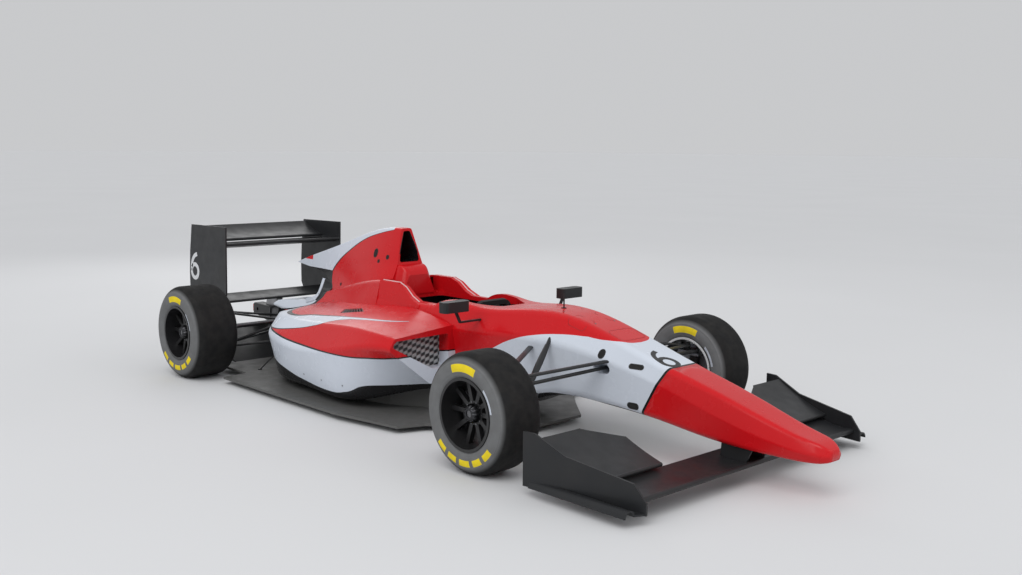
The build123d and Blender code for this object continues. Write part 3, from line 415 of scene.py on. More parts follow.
# Weave of the pod mouths: its cell, how it leans outwards, and its rows' height as a share of the cell
WEAVE_CELL = 0.030
WEAVE_LEAN = 0.28
WEAVE_ROW = 0.62
WEAVE_DARK = (0.012, 0.012, 0.013, 1)
WEAVE_PALE = (0.46, 0.47, 0.47, 1)


def weave_screen():
    """Coarse plain weave of the pod mouths: pale and dark tows over and under each other."""
    paint = Paint("mouth_weave", rough=0.35)
    slant = paint.math("ADD", paint.z, paint.math("MULTIPLY", paint.math("ABSOLUTE", paint.y), WEAVE_LEAN))
    along = paint.math("DIVIDE", paint.y, WEAVE_CELL)
    upward = paint.math("DIVIDE", slant, WEAVE_CELL * WEAVE_ROW)
    crown = paint.math("MULTIPLY", paint.math("SINE", paint.math("MULTIPLY", along, math.pi)),
                       paint.math("SINE", paint.math("MULTIPLY", upward, math.pi)))
    paint.color(paint.mix(paint.scaled(crown, -0.35, 0.45), WEAVE_DARK, WEAVE_PALE))
    paint.bump(crown, 0.7, 0.004)
    return paint.mat


def metal(name, base, low, high, grain=90.0):
    paint = Paint(name, metal=1.0)
    paint.color(base, dirt=(0.03, 0.03, 0.03, 1), amount=0.3, scale=18.0)
    paint.rough(low, high, 30.0)
    paint.bump(paint.noise(grain), 0.12, 0.0008)
    return paint.mat


def plain(name, base, low, high, grain=300.0, strength=0.1):
    paint = Paint(name)
    paint.color(base)
    paint.rough(low, high)
    paint.bump(paint.noise(grain), strength, 0.0008)
    return paint.mat


def glow(name, base):
    paint = Paint(name, rough=0.2, coat=0.5)
    cell = 0.012
    dots = paint.math("MULTIPLY", paint.math("PINGPONG", paint.math("DIVIDE", paint.y, cell), 1.0),
                      paint.math("PINGPONG", paint.math("DIVIDE", paint.z, cell), 1.0))
    paint.color(paint.mix(paint.scaled(dots, 0.2, 0.7), base, (0.75, 0.05, 0.04, 1)))
    paint.bump(dots, 0.5, 0.002)
    return paint.mat


# Marks on the tyres' walls, and the ring of a painted white glint highlight, as (radius, half width)
BLOCK_RING = (0.215, 0.018)
DASH_RING = (0.221, 0.015)
GLINT_RING = (0.190, 0.007)
# Their places, in degrees from the top
BLOCK_REACH = 21
DASH_START = 126
DASH_PITCH = 21
DASH_SHARE = 0.72
GLINT_TURN = 62
GLINT_REACH = 17
# The wall's grey turns to the tread's black between these depths below the tread
GREY_DEPTH = 0.034
BLACK_DEPTH = 0.016
WALL_GREY = (0.150, 0.153, 0.156, 1)
TREAD_BLACK = (0.010, 0.010, 0.0105, 1)
MOULD_PITCH = 0.006


def tyre_rubber(name, node):
    """Black tread, grey moulded walls, plain yellow marks and a painted white glint highlight on both walls.
    """
    paint = Paint(name)
    paint.bsdf.inputs["Specular IOR Level"].default_value = 0.2
    centre = middle(node)
    tread = (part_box(node)[1].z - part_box(node)[0].z) / 2
    ahead = paint.math("SUBTRACT", paint.x, centre.x)
    above = paint.math("SUBTRACT", paint.z, centre.z)
    radius = paint.math("SQRT", paint.math("ADD", paint.math("MULTIPLY", ahead, ahead),
                                           paint.math("MULTIPLY", above, above)))
    turn = paint.math("ARCTAN2", ahead, above)
    away = paint.math("ABSOLUTE", turn)
    block = paint.both(paint.near(radius, *BLOCK_RING), paint.under(away, math.radians(BLOCK_REACH)))
    pitches = paint.math("MULTIPLY", turn, 180 / math.pi / DASH_PITCH)
    dash = paint.under(paint.math("FRACT", pitches), DASH_SHARE)
    dashes = paint.both(paint.near(radius, *DASH_RING), paint.over(away, math.radians(DASH_START)), dash)
    # Painted highlight: a white glint arc on both walls, ahead of the top
    glint = paint.both(paint.near(radius, *GLINT_RING),
                       paint.near(turn, math.radians(GLINT_TURN), math.radians(GLINT_REACH)))
    base = paint.mix(paint.scaled(radius, tread - GREY_DEPTH, tread - BLACK_DEPTH), WALL_GREY, TREAD_BLACK)
    base = paint.mix(paint.math("MAXIMUM", block, dashes), base, YELLOW)
    base = paint.mix(glint, base, WHITE)
    paint.color(base, amount=0.22, scale=22.0)
    paint.rough(0.68, 0.86, 20.0)
    rings = paint.math("SINE", paint.math("MULTIPLY", radius, 2 * math.pi / MOULD_PITCH))
    grain = paint.math("ADD", paint.math("MULTIPLY", rings, 0.15), paint.noise(340.0))
    paint.bump(grain, 0.22, 0.0008)
    return paint.mat


RIB_PITCH = 0.0035


def belt_web():
    """Woven belt with ribs across it."""
    paint = Paint("belt_web")
    run = paint.math("ADD", paint.x, paint.z)
    rib = paint.math("SINE", paint.math("MULTIPLY", run, 2 * math.pi / RIB_PITCH))
    paint.color(paint.mix(paint.scaled(rib, -1.0, 1.0, 0.0, 0.4), (0.020, 0.020, 0.022, 1), BLACK))
    paint.rough(0.7, 0.85)
    paint.bump(rib, 0.3, 0.0006)
    return paint.mat


MATERIALS = {
    "red": paint_plain(),
    "white": paint_white(),
    "hoop": paint_hoop(),
    "tub": paint_tub(),
    "cover": paint_cover(),
    "pod": paint_pod(),
    "carbon": carbon("carbon_satin", CARBON, 0.34, 0.5),
    "floor": carbon("carbon_floor", FLOOR_GREY, 0.42, 0.6),
    "arms": carbon("carbon_arms", CARBON, 0.3, 0.45),
    "weave": weave_screen(),
    "wood": plain("plank_laminate", (0.055, 0.040, 0.028, 1), 0.55, 0.75, 120.0, 0.3),
    "cast": metal("cast_alloy", (0.17, 0.17, 0.175, 1), 0.42, 0.6),
    "alloy": metal("bare_alloy", (0.32, 0.32, 0.33, 1), 0.3, 0.45),
    "steel": metal("hub_steel", (0.20, 0.20, 0.21, 1), 0.28, 0.42),
    "rim": plain("rim_black", (0.012, 0.012, 0.013, 1), 0.3, 0.42, 500.0, 0.06),
    "rubber": plain("rubber", (0.016, 0.016, 0.017, 1), 0.72, 0.88, 260.0, 0.25),
    "grip": plain("grip_suede", (0.014, 0.014, 0.015, 1), 0.75, 0.9, 500.0, 0.4),
    "light": glow("rain_lamp", (0.30, 0.0, 0.004, 1)),
    "tyre_front": tyre_rubber("tyre_front", "tyre_front_left"),
    "tyre_rear": tyre_rubber("tyre_rear", "tyre_rear_left"),
    "belt": belt_web(),
    "nut": metal("nut_dark", (0.06, 0.06, 0.065, 1), 0.3, 0.45),
    "pale_metal": plain("rim_lip_pale", (0.68, 0.69, 0.70, 1), 0.3, 0.45),
    # Painted highlight: pale pinkish beads that stand in for the highlight on the surround's rounded crown
    "highlight_bead": plain("painted_highlight_bead", (0.70, 0.52, 0.53, 1), 0.2, 0.3),
    "decal_black": plain("number_black", BLACK, 0.35, 0.5),
    "decal_white": plain("number_white", (0.66, 0.67, 0.69, 1), 0.4, 0.55),
    # Painted shade: near-black patches that stand for openings in the skins
    "opening_shade": plain("opening_painted_shade", (0.005, 0.005, 0.005, 1), 0.7, 0.9),
    "seam": plain("seam_dark_red", (0.24, 0.003, 0.005, 1), 0.5, 0.7),
    "mirror": metal("mirror_glass", (0.75, 0.77, 0.80, 1), 0.03, 0.08),
    "screen": plain("screen_dark", (0.010, 0.014, 0.020, 1), 0.1, 0.2),
    "button_red": plain("button_red", (0.50, 0.01, 0.01, 1), 0.35, 0.5),
    "button_yellow": plain("button_yellow", YELLOW, 0.35, 0.5),
    "button_blue": plain("button_blue", (0.02, 0.10, 0.45, 1), 0.35, 0.5),
}
NODE_MATERIAL = {
    "monocoque": "tub",
    "engine_cover": "cover",
    "roll_hoop": "hoop",
    "side_pod_left": "pod",
    "side_pod_right": "pod",
    "radiators": "weave",
    "floor": "floor",
}
SLOT_MATERIAL = {
    "body_paint": "red",
    "carbon": "carbon",
    "carbon_arms": "arms",
    "plank_wood": "wood",
    "cast_alloy": "cast",
    "bare_alloy": "alloy",
    "hub_steel": "steel",
    "rim_black": "rim",
    "tyre": "rubber",
    "grip": "grip",
    "light_red": "light",
}

for row in frame["record"]["subparts"]:
    name = row["node"]
    nodes[name].data.materials.clear()
    finish = NODE_MATERIAL.get(name, SLOT_MATERIAL[row["material_slot"]])
    nodes[name].data.materials.append(MATERIALS[finish])


# Mesh helpers
def arc(start, end, count):
    """Evenly spaced angles from start to end, both included."""
    return [start + (end - start) * i / (count - 1) for i in range(count)]


def piece(name, mesh, finish, body, smooth=True, sharp=35):
    """Object made from a filled bmesh, riding on a CAD body, with edges over the sharp angle kept hard."""
    bmesh.ops.recalc_face_normals(mesh, faces=mesh.faces)
    data = bpy.data.meshes.new(name)
    mesh.to_mesh(data)
    mesh.free()
    data.materials.append(MATERIALS[finish])
    obj = bpy.data.objects.new(name, data)
    scene.collection.objects.link(obj)
    if smooth:
        data.shade_smooth()
        data.set_sharp_from_angle(angle=math.radians(sharp))
    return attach(obj, body)


def bridge(mesh, rings, closed):
    """Quads between neighbouring rings of points, with end caps unless the run closes."""
    pairs = list(zip(rings, rings[1:]))
    if closed:
        pairs.append((rings[-1], rings[0]))
    for first, second in pairs:
        for k in range(len(first)):
            mesh.faces.new((first[k - 1], first[k], second[k], second[k - 1]))
    if not closed:
        mesh.faces.new(rings[0])
        mesh.faces.new(rings[-1])


def sweep(mesh, path, ups, section, closed=False):
    """Section of (across, up) points carried along a path whose points have an up each."""
    rings = []
    last = len(path) - 1
    for i, (point, up) in enumerate(zip(path, ups)):
        ahead = path[(i + 1) % len(path)] if closed or i < last else point
        behind = path[i - 1] if closed or i > 0 else point
        way = (ahead - behind).normalized()
        across = way.cross(up).normalized()
        rise = across.cross(way)
        rings.append([mesh.verts.new(point + across * a + rise * u) for a, u in section])
    bridge(mesh, rings, closed)


def lathe(mesh, centre, profile, segments, lobes=0, depth=0.0):
    """Closed section of (radius, distance along y) points turned about the y axis through the centre."""
    rings = []
    for i in range(segments):
        turn = 2 * math.pi * i / segments
        flute = 1 - depth * (0.5 - 0.5 * math.cos(lobes * turn))
        way = Vector((math.cos(turn), 0, math.sin(turn)))
        rings.append([mesh.verts.new(centre + way * r * flute + Vector((0, y, 0))) for r, y in profile])
    bridge(mesh, rings, True)


SKIN_SINK = 0.002


def slab(mesh, outline, normal, rise):
    """Thin plate on a skin: its outline lifted along the normal, and its foot sunk below it."""
    top = [mesh.verts.new(point + normal * rise) for point in outline]
    foot = [mesh.verts.new(point - normal * SKIN_SINK) for point in outline]
    bridge(mesh, [foot, top], False)


def patch(mesh, rings, rise):
    """Thin patch on a skin: rings of (point, normal) from its edge inwards, the last a single spot."""
    foot = [mesh.verts.new(point - normal * SKIN_SINK) for point, normal in rings[0]]
    levels = [foot]
    for ring in rings[:-1]:
        levels.append([mesh.verts.new(point + normal * rise) for point, normal in ring])
    for first, second in zip(levels, levels[1:]):
        for k in range(len(first)):
            mesh.faces.new((first[k - 1], first[k], second[k], second[k - 1]))
    point, normal = rings[-1][0]
    top = mesh.verts.new(point + normal * rise)
    for k in range(len(foot)):
        mesh.faces.new((levels[-1][k - 1], levels[-1][k], top))
    mesh.faces.new(foot)


def lay(mesh, spots, profile, closed=False):
    """Section swept along (point, normal) spots of a skin."""
    sweep(mesh, [point for point, _ in spots], [normal for _, normal in spots], profile, closed)


def strip(width, height, sink=0.0015):
    """Section of a flat strip that lies on a skin."""
    half = width / 2
    return [(-half, -sink), (half, -sink), (half, height), (-half, height)]


def disc(radius, sides=10):
    """Round section."""
    return [(radius * math.cos(t), radius * math.sin(t)) for t in arc(0, 2 * math.pi, sides + 1)[:-1]]


# Points on the CAD skins
TREES = {}


def drop(node, start, way):
    """Where a ray from the start first meets a node's skin, and the skin's outward normal there."""
    if node not in TREES:
        mesh = nodes[node].data
        points = [vertex.co for vertex in mesh.vertices]
        TREES[node] = BVHTree.FromPolygons(points, [face.vertices for face in mesh.polygons])
    place, normal, _, _ = TREES[node].ray_cast(Vector(start), Vector(way))
    if place is None:
        raise ValueError("no skin of " + node + " at " + str(start))
    if normal.dot(Vector(way)) > 0:
        normal = -normal
    return place, normal


def on_side(node, station, z, side):
    """Skin of a node seen from the side."""
    return drop(node, (AXLE_X + station, 3 * side, z), (0, -side, 0))


def on_top(node, station, y):
    """Skin of a node seen from above."""
    return drop(node, (AXLE_X + station, y, 3), (0, 0, -1))


def at(row, side):
    """Point of a (station, y, z) row on one side of the car."""
    station, y, z = row
    return Vector((AXLE_X + station, side * y, z))


def round_on(place, normal, radius, sides):
    """Round outline about a spot on a skin."""
    flat = normal.orthogonal().normalized()
    other = normal.cross(flat)
    return [place + flat * u + other * v for u, v in disc(radius, sides)]


def ring_points(centre, half, corner, count=6):
    """Rounded rectangle as (u, v) points."""
    points = []
    for quarter, (su, sv) in enumerate(((1, 1), (-1, 1), (-1, -1), (1, -1))):
        for t in arc(quarter * math.pi / 2, (quarter + 1) * math.pi / 2, count):
            u = su * (half[0] - corner) + corner * math.cos(t)
            v = sv * (half[1] - corner) + corner * math.sin(t)
            points.append((centre[0] + u, centre[1] + v))
    return points


# Tyres: the CAD section with moulded rings and a bead
def arc_through(a, b, c, count):
    """Points on the circle through three (r, y) points, from a to c."""
    (ax, ay), (bx, by), (cx, cy) = a, b, c
    aa = ax * ax + ay * ay
    bb = bx * bx + by * by
    cc = cx * cx + cy * cy
    twice = 2 * (ax * (by - cy) + bx * (cy - ay) + cx * (ay - by))
    ux = (aa * (by - cy) + bb * (cy - ay) + cc * (ay - by)) / twice
    uy = (aa * (cx - bx) + bb * (ax - cx) + cc * (bx - ax)) / twice
    radius = math.hypot(ax - ux, ay - uy)
    start = math.atan2(ay - uy, ax - ux)
    swing = (math.atan2(cy - uy, cx - ux) - start + math.pi) % (2 * math.pi) - math.pi
    return [(ux + radius * math.cos(t), uy + radius * math.sin(t)) for t in arc(start, start + swing, count)]


BEAD_RADIUS = 0.165
BEAD_INSET = 0.016
FOOT_DROP = 0.002
FOOT_INSET = 0.030
BULGE_RISE = 0.050
SHOULDER_DROP = 0.022
SHOULDER_INSET = 0.018
EDGE_DROP = 0.0073
EDGE_INSET = 0.036
TREAD_INSET = 0.066
TYRE_SEGMENTS = 120
# Moulded rings, as (share of the way up the wall, height)
WALL_RIDGES = [(0.20, 0.0012), (0.32, 0.0012), (0.80, 0.0016)]
RIDGE_REACH = 0.025


def tyre(name, body):
    """Skin that replaces a CAD tyre."""
    low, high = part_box(name)
    tread = (high.z - low.z) / 2
    half = (high.y - low.y) / 2
    shoulder = (tread - SHOULDER_DROP, half - SHOULDER_INSET)
    wall = arc_through((BEAD_RADIUS, half - BEAD_INSET), (BEAD_RADIUS + BULGE_RISE, half), shoulder, 26)
    edge = arc_through(shoulder, (tread - EDGE_DROP, half - EDGE_INSET), (tread, half - TREAD_INSET), 12)
    ridged = []
    for i, (r, y) in enumerate(wall):
        climb = i / (len(wall) - 1)
        lift = sum(height for place, height in WALL_RIDGES if abs(place - climb) < RIDGE_REACH)
        ridged.append((r, y + lift))
    outer = [(BEAD_RADIUS - FOOT_DROP, half - FOOT_INSET)] + ridged + edge[1:]
    profile = outer + [(r, -y) for r, y in reversed(outer)]
    mesh = bmesh.new()
    lathe(mesh, middle(name), profile, TYRE_SEGMENTS)
    finish = "tyre_front" if "front" in name else "tyre_rear"
    obj = piece("skin_" + name, mesh, finish, body)
    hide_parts(name)


# Wheel trim: nut, pale inner lip and bolt ring, with turned sections as (radius, distance out)
NUT = [(0.018, 0.004), (0.026, 0.006), (0.034, 0.002), (0.044, -0.012), (0.046, -0.026), (0.018, -0.026)]
NUT_LOBES = 12
NUT_FLUTE = 0.10
LIP = [(0.157, 0.010), (0.159, 0.004), (0.170, 0.002), (0.1705, 0.006), (0.161, 0.012)]
BOLT = [(0.0005, 0.003), (0.0045, 0.003), (0.0055, -0.006), (0.0005, -0.006)]
BOLT_COUNT = 10
BOLT_CIRCLE = 0.0515
BOLT_INSET = 0.030


def outwards(profile, side):
    """Turned section for a wheel on one side of the car."""
    return [(r, side * y) for r, y in profile]


def wheel_trim(corner, body):
    """Nut on the hub's end, lip on the rim's inner edge and bolts round the nut."""
    low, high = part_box("tyre_" + corner)
    centre = middle("tyre_" + corner)
    side = 1 if centre.y > 0 else -1
    hub_low, hub_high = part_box("hub_" + corner)
    end = hub_high.y if side > 0 else hub_low.y
    mesh = bmesh.new()
    lathe(mesh, Vector((centre.x, end, centre.z)), outwards(NUT, side), 96, NUT_LOBES, NUT_FLUTE)
    piece("wheel_nut_" + corner, mesh, "nut", body)
    mesh = bmesh.new()
    inner = low.y if side > 0 else high.y
    lathe(mesh, Vector((centre.x, inner, centre.z)), outwards(LIP, side), 96)
    piece("rim_lip_" + corner, mesh, "pale_metal", body)
    mesh = bmesh.new()
    face = end - side * BOLT_INSET
    for turn in arc(0, 2 * math.pi, BOLT_COUNT + 1)[:-1]:
        x = centre.x + BOLT_CIRCLE * math.cos(turn)
        z = centre.z + BOLT_CIRCLE * math.sin(turn)
        lathe(mesh, Vector((x, face, z)), outwards(BOLT, side), 12)
    piece("rim_bolts_" + corner, mesh, "steel", body)


CORNERS = {
    "front_left": "wheel_front_left",
    "front_right": "wheel_front_right",
    "rear_left": "wheel_rear_left",
    "rear_right": "wheel_rear_right",
}
for corner, body in CORNERS.items():
    tyre("tyre_" + corner, body)
    wheel_trim(corner, body)

# Nose: the CAD shell with a fuller top and a blunter tip, between stations ahead of the front axle
SWELL_START = 0.55
SWELL_END = 1.27
BLUNT_START = 1.16
BLUNT_END = 1.325
FADE_START = 1.23
FADE = 0.7
TOP_RISE = 0.025
TOP_WIDEN = 0.32
TIP_WIDEN = 0.30
TIP_DEEPEN = 0.45
TIP_Z = 0.204
KEEL_Z = 0.172
# The nose's top falls in a straight line from this station and height
TOP_STATION = 0.65
TOP_Z = 0.430
TOP_SLOPE = 0.319


def ramp(value, low, high):
    """Share of the way from low to high, kept between 0 and 1."""
    return min(max((value - low) / (high - low), 0.0), 1.0)


mesh = bmesh.new()
mesh.from_mesh(nodes["nose_cone"].data)
bmesh.ops.remove_doubles(mesh, verts=mesh.verts, dist=0.00001)
for vert in mesh.verts:
    station = vert.co.x - AXLE_X
    height = ramp(vert.co.z, KEEL_Z, TOP_Z - (station - TOP_STATION) * TOP_SLOPE)
    fade = 1 - FADE * ramp(station, FADE_START, BLUNT_END) ** 2
    swell = ramp(station, SWELL_START, SWELL_END) ** 2 * height * fade
    blunt = ramp(station, BLUNT_START, BLUNT_END) ** 4
    vert.co.y *= (1 + TOP_WIDEN * swell) * (1 + TIP_WIDEN * blunt)
    vert.co.z += TOP_RISE * swell + (vert.co.z - TIP_Z) * TIP_DEEPEN * blunt
obj = piece("skin_nose_cone", mesh, "red", "chassis", sharp=65)
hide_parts("nose_cone")

# Race number: a round bowl, and a stem curved by three points, drawn in units of its height
BOWL_RADIUS = 0.27
BOWL_DROP = 0.23
STEM = [(-0.27, -0.23), (-0.27, 0.36), (0.20, 0.46)]
FIGURE_RISE = 0.0006
RAY_LENGTH = 0.5


def six():
    """Middle lines of the bowl and the stem."""
    turns = arc(math.pi, 3 * math.pi, 33)[:-1]
    bowl = [(BOWL_RADIUS * math.cos(t), BOWL_RADIUS * math.sin(t) - BOWL_DROP) for t in turns]
    stem = []
    for t in arc(0, 1, 14):
        stem.append([(1 - t) ** 2 * a + 2 * t * (1 - t) * b + t * t * c for a, b, c in zip(*STEM)])
    return bowl, stem


def number(name, node, centre, right, upward, way, height, stroke, finish):
    """Figure on a node's skin, its strokes laid down along the way given."""
    mesh = bmesh.new()
    for line, closed in zip(six(), (True, False)):
        starts = [centre + right * (u * height) + upward * (v * height) - way * RAY_LENGTH for u, v in line]
        lay(mesh, [drop(node, start, way) for start in starts], strip(stroke, FIGURE_RISE), closed)
    piece(name, mesh, finish, "chassis", smooth=False)


# Middle of the figure on the tub and of the left plate's, as (station, y, z)
TUB_FIGURE = (0.428, -0.042, 0.6)
TUB_FIGURE_HEIGHT = 0.158
TUB_FIGURE_STROKE = 0.025
PLATE_FIGURE = (-3.402, 0.6, 0.640)
PLATE_FIGURE_HEIGHT = 0.175
PLATE_FIGURE_STROKE = 0.028
number("nose_number", "monocoque", at(TUB_FIGURE, 1), Vector((0, 1, 0)), Vector((-1, 0, 0)),
       Vector((0, 0, -1)), TUB_FIGURE_HEIGHT, TUB_FIGURE_STROKE, "decal_black")
for side, hand in ((1, "left"), (-1, "right")):
    number("plate_number_" + hand, "rear_wing_endplates", at(PLATE_FIGURE, side), Vector((-side, 0, 0)),
           Vector((0, 0, 1)), Vector((0, -side, 0)), PLATE_FIGURE_HEIGHT, PLATE_FIGURE_STROKE, "decal_white")

# Openings in the tub's sides, drawn as black patches of painted shade, as (station, z, half length, half
# height)
TUB_OPENINGS = [
    (0.153, 0.490, 0.017, 0.021),
    (0.349, 0.453, 0.038, 0.011),
    (0.338, 0.263, 0.032, 0.015),
]
# Openings beside the air box, in the same columns
COVER_OPENINGS = [
    (-1.796, 0.825, 0.020, 0.026),
    (-1.745, 0.780, 0.010, 0.010),
    (-1.664, 0.810, 0.013, 0.013),
    (-2.154, 0.599, 0.009, 0.009),
]
OPENING_RISE = 0.0006
OPENING_EDGE = strip(0.003, 0.0012)


def openings(name, node, rows):
    """Black rounded patches of painted shade for openings on both sides of a node, each with a thin raised
    edge.
    """
    mesh = bmesh.new()
    edge = bmesh.new()
    for station, z, length, height in rows:
        for side in (1, -1):
            rings = []
            for scale in (1.0, 0.66, 0.33):
                half = (length * scale, height * scale)
                outline = ring_points((station, z), half, min(half))
                rings.append([on_side(node, u, v, side) for u, v in outline])
            rings.append([on_side(node, station, z, side)])
            patch(mesh, rings, OPENING_RISE)
            lay(edge, rings[0], OPENING_EDGE, True)
    piece(name, mesh, "opening_shade", "chassis", smooth=False)
    piece(name + "_edges", edge, "rim", "chassis", smooth=False)


openings("tub_openings", "monocoque", TUB_OPENINGS)
openings("cover_openings", "engine_cover", COVER_OPENINGS)

# Hatches on the tub's top, as (station, y, half length, half width, corner)
HATCHES = [
    (-0.050, -0.098, 0.060, 0.046, 0.022),
    (-0.050, 0.098, 0.060, 0.046, 0.022),
    (0.165, 0.000, 0.055, 0.090, 0.030),
]
HATCH_SEAM = strip(0.0020, 0.0005)
mesh = bmesh.new()
for station, y, length, width, corner in HATCHES:
    outline = ring_points((station, y), (length, width), corner)
    lay(mesh, [on_top("monocoque", u, v) for u, v in outline], HATCH_SEAM, True)
piece("hatch_seams", mesh, "seam", "chassis", smooth=False)

# Quarter-turn fasteners along the panel edges, as (node, view, station, y or z)
FASTENERS = [("engine_cover", "side", s, 0.500) for s in (-1.64, -1.80, -1.96, -2.12)]
FASTENERS += [("side_pod_left", "side", s, 0.165) for s in (-1.30, -1.50, -1.70)]
FASTENERS += [("monocoque", "top", s, 0.070) for s in (-0.20, 0.02)]
FASTENER_RADIUS = 0.0048
FASTENER_RISE = 0.0009
mesh = bmesh.new()
for node, view, station, value in FASTENERS:
    for side in (1, -1):
        target = node.replace("left", "right") if side < 0 else node
        if view == "side":
            place, normal = on_side(target, station, value, side)
        else:
            place, normal = on_top(target, station, side * value)
        slab(mesh, round_on(place, normal, FASTENER_RADIUS, 14), normal, FASTENER_RISE)
piece("panel_fasteners", mesh, "steel", "chassis")

# Painted highlight: pale pinkish beads along the crown of the cockpit surround, standing in for the
# highlight on its rounded crown, as (station, outer y, z) on the left
SURROUND_EDGE = [
    (-1.555, 0.218, 0.692),
    (-1.390, 0.2215, 0.692),
    (-1.330, 0.2265, 0.670),
    (-1.265, 0.2345, 0.624),
    (-1.180, 0.2425, 0.588),
]
INNER_EDGE_Y = 0.182
EDGE_RADIUS = 0.0035
mesh = bmesh.new()
for side in (1, -1):
    corners = [at((s, (INNER_EDGE_Y + y) / 2, z), side) for s, y, z in SURROUND_EDGE]
    run = [a.lerp(b, t) for a, b in zip(corners, corners[1:]) for t in arc(0, 1, 6)[:-1]] + corners[-1:]
    sweep(mesh, run, [Vector((0, 0, 1))] * len(run), disc(EDGE_RADIUS, 10))
piece("surround_highlight_beads", mesh, "highlight_bead", "chassis")

# Blades round the front push rods, as (share of the way from the wheel to the tub, chord)
BLADE = [(0.42, 0.024), (0.50, 0.036), (0.64, 0.042), (0.74, 0.038), (0.84, 0.026)]
BLADE_HALF = 0.0108
ROD_FOOT = Vector((AXLE_X - 0.006, HALF_WIDTH - 0.298, 0.165))
ROD_HEAD = Vector((AXLE_X - 0.190, 0.150, 0.560))
way = (ROD_HEAD - ROD_FOOT).normalized()
flat = (Vector((1, 0, 0)) - way * way.x).normalized()
thick = way.cross(flat)
mesh = bmesh.new()
for side in (1, -1):
    rings = []
    for place, chord in BLADE:
        spot = ROD_FOOT.lerp(ROD_HEAD, place)
        ring = [spot + flat * (u * chord / 2) + thick * (v * BLADE_HALF) for u, v in disc(1.0, 20)]
        rings.append([mesh.verts.new((point.x, side * point.y, point.z)) for point in ring])
    bridge(mesh, rings, False)
piece("push_rod_blades", mesh, "arms", "chassis")

# White strip that bows up from the cover's tail, as (station, y, z) on the left
TAIL_STRIP = [
    (-2.502, 0.135, 0.459),
    (-2.430, 0.138, 0.476),
    (-2.388, 0.138, 0.490),
    (-2.370, 0.129, 0.510),
    (-2.382, 0.106, 0.532),
    (-2.395, 0.086, 0.552),
    (-2.402, 0.070, 0.576),
    (-2.402, 0.056, 0.610),
]
# Edge of the cover ahead of each of those points
TAIL_EDGE = [
    (-2.450, 0.130, 0.464),
    (-2.400, 0.136, 0.470),
    (-2.335, 0.136, 0.490),
    (-2.290, 0.131, 0.512),
    (-2.276, 0.110, 0.538),
    (-2.276, 0.078, 0.560),
    (-2.302, 0.065, 0.584),
    (-2.342, 0.052, 0.604),
]
STRIP_SECTION = strip(0.028, 0.0025, 0.0025)
WEB_HALF = Vector((0, 0.0012, 0))
web = bmesh.new()
band = bmesh.new()
for side in (1, -1):
    rear = [at(row, side) for row in TAIL_STRIP]
    ahead = [at(row, side) for row in TAIL_EDGE]
    rings = []
    for a, b in zip(rear, ahead):
        corners = (a + WEB_HALF, b + WEB_HALF, b - WEB_HALF, a - WEB_HALF)
        rings.append([web.verts.new(point) for point in corners])
    bridge(web, rings, False)
    sweep(band, rear, [Vector((0, side, 0.2))] * len(rear), STRIP_SECTION)
piece("tail_webs", web, "carbon", "chassis", smooth=False)
piece("tail_strips", band, "white", "chassis")

# Mirror glass on the rear faces, seen from a station behind them
SEEN_STATION = -1.2
MIRROR_Y = 0.430
MIRROR_Z = 0.656
GLASS = ring_points((0, 0), (0.060, 0.022), 0.012)
GLASS_RISE = 0.0012
mesh = bmesh.new()
for side in (1, -1):
    place, normal = drop("mirrors", at((SEEN_STATION, MIRROR_Y, MIRROR_Z), side), (1, 0, 0))
    slab(mesh, [place + Vector((0, u, v)) for u, v in GLASS], normal, GLASS_RISE)
piece("mirror_glass", mesh, "mirror", "chassis", smooth=False)

# Floor stays from the pods' tails, as (station, y, z), down to pads on the floor, as (station, y)
STAY_HEAD = (-2.330, 0.365, 0.250)
STAY_FOOT = (-2.495, 0.493)
STAY_RADIUS = 0.004
PAD_RADIUS = 0.013
PAD_RISE = 0.006
mesh = bmesh.new()
for side in (1, -1):
    foot, _ = on_top("floor", STAY_FOOT[0], side * STAY_FOOT[1])
    head = at(STAY_HEAD, side)
    run = [foot.lerp(head, t) for t in arc(0, 1, 4)]
    sweep(mesh, run, [Vector((1, 0, 0.3))] * len(run), disc(STAY_RADIUS, 8))
    pad = [foot + Vector((u, v, 0)) for u, v in disc(PAD_RADIUS, 14)]
    slab(mesh, pad, Vector((0, 0, 1)), PAD_RISE)
piece("floor_stays", mesh, "rim", "chassis")

# Hand wheel: grips, screen, buttons and dials on the face towards the driver, as (to the right, up)
COLUMN_LEAN = math.radians(12)
WHEEL_WAY = Vector((math.cos(COLUMN_LEAN), 0, -math.sin(COLUMN_LEAN)))
WHEEL_UP = Vector((math.sin(COLUMN_LEAN), 0, math.cos(COLUMN_LEAN)))
WHEEL_RIGHT = Vector((0, -1, 0))
WHEEL_STATION = -0.830
WHEEL_Z = 0.548
SEEN_Z = WHEEL_Z + (WHEEL_STATION - SEEN_STATION) * math.tan(COLUMN_LEAN)
WHEEL_FACE, _ = drop("steering_wheel", at((SEEN_STATION, 0, SEEN_Z), 1), WHEEL_WAY)
GRIP_OUT = 0.1215
GRIP_HALF = 0.050
GRIP_REACH = 1.25
GRIP_BOW = 0.010
GRIP_SINK = 0.012
GRIP_RADIUS = 0.0175
SCREEN = ring_points((0, 0.026), (0.036, 0.019), 0.004)
SCREEN_RISE = 0.003
BUTTON_RADIUS = 0.007
BUTTON_RISE = 0.006
BUTTONS = {
    "button_red": [(-0.056, 0.034), (0.056, 0.006)],
    "button_yellow": [(0.056, 0.034), (-0.050, -0.028)],
    "button_blue": [(-0.056, 0.006), (0.050, -0.028)],
}
DIALS = [(-0.024, -0.022), (0.0, -0.022), (0.024, -0.022)]
DIAL_RADIUS = 0.0085
DIAL_RISE = 0.010


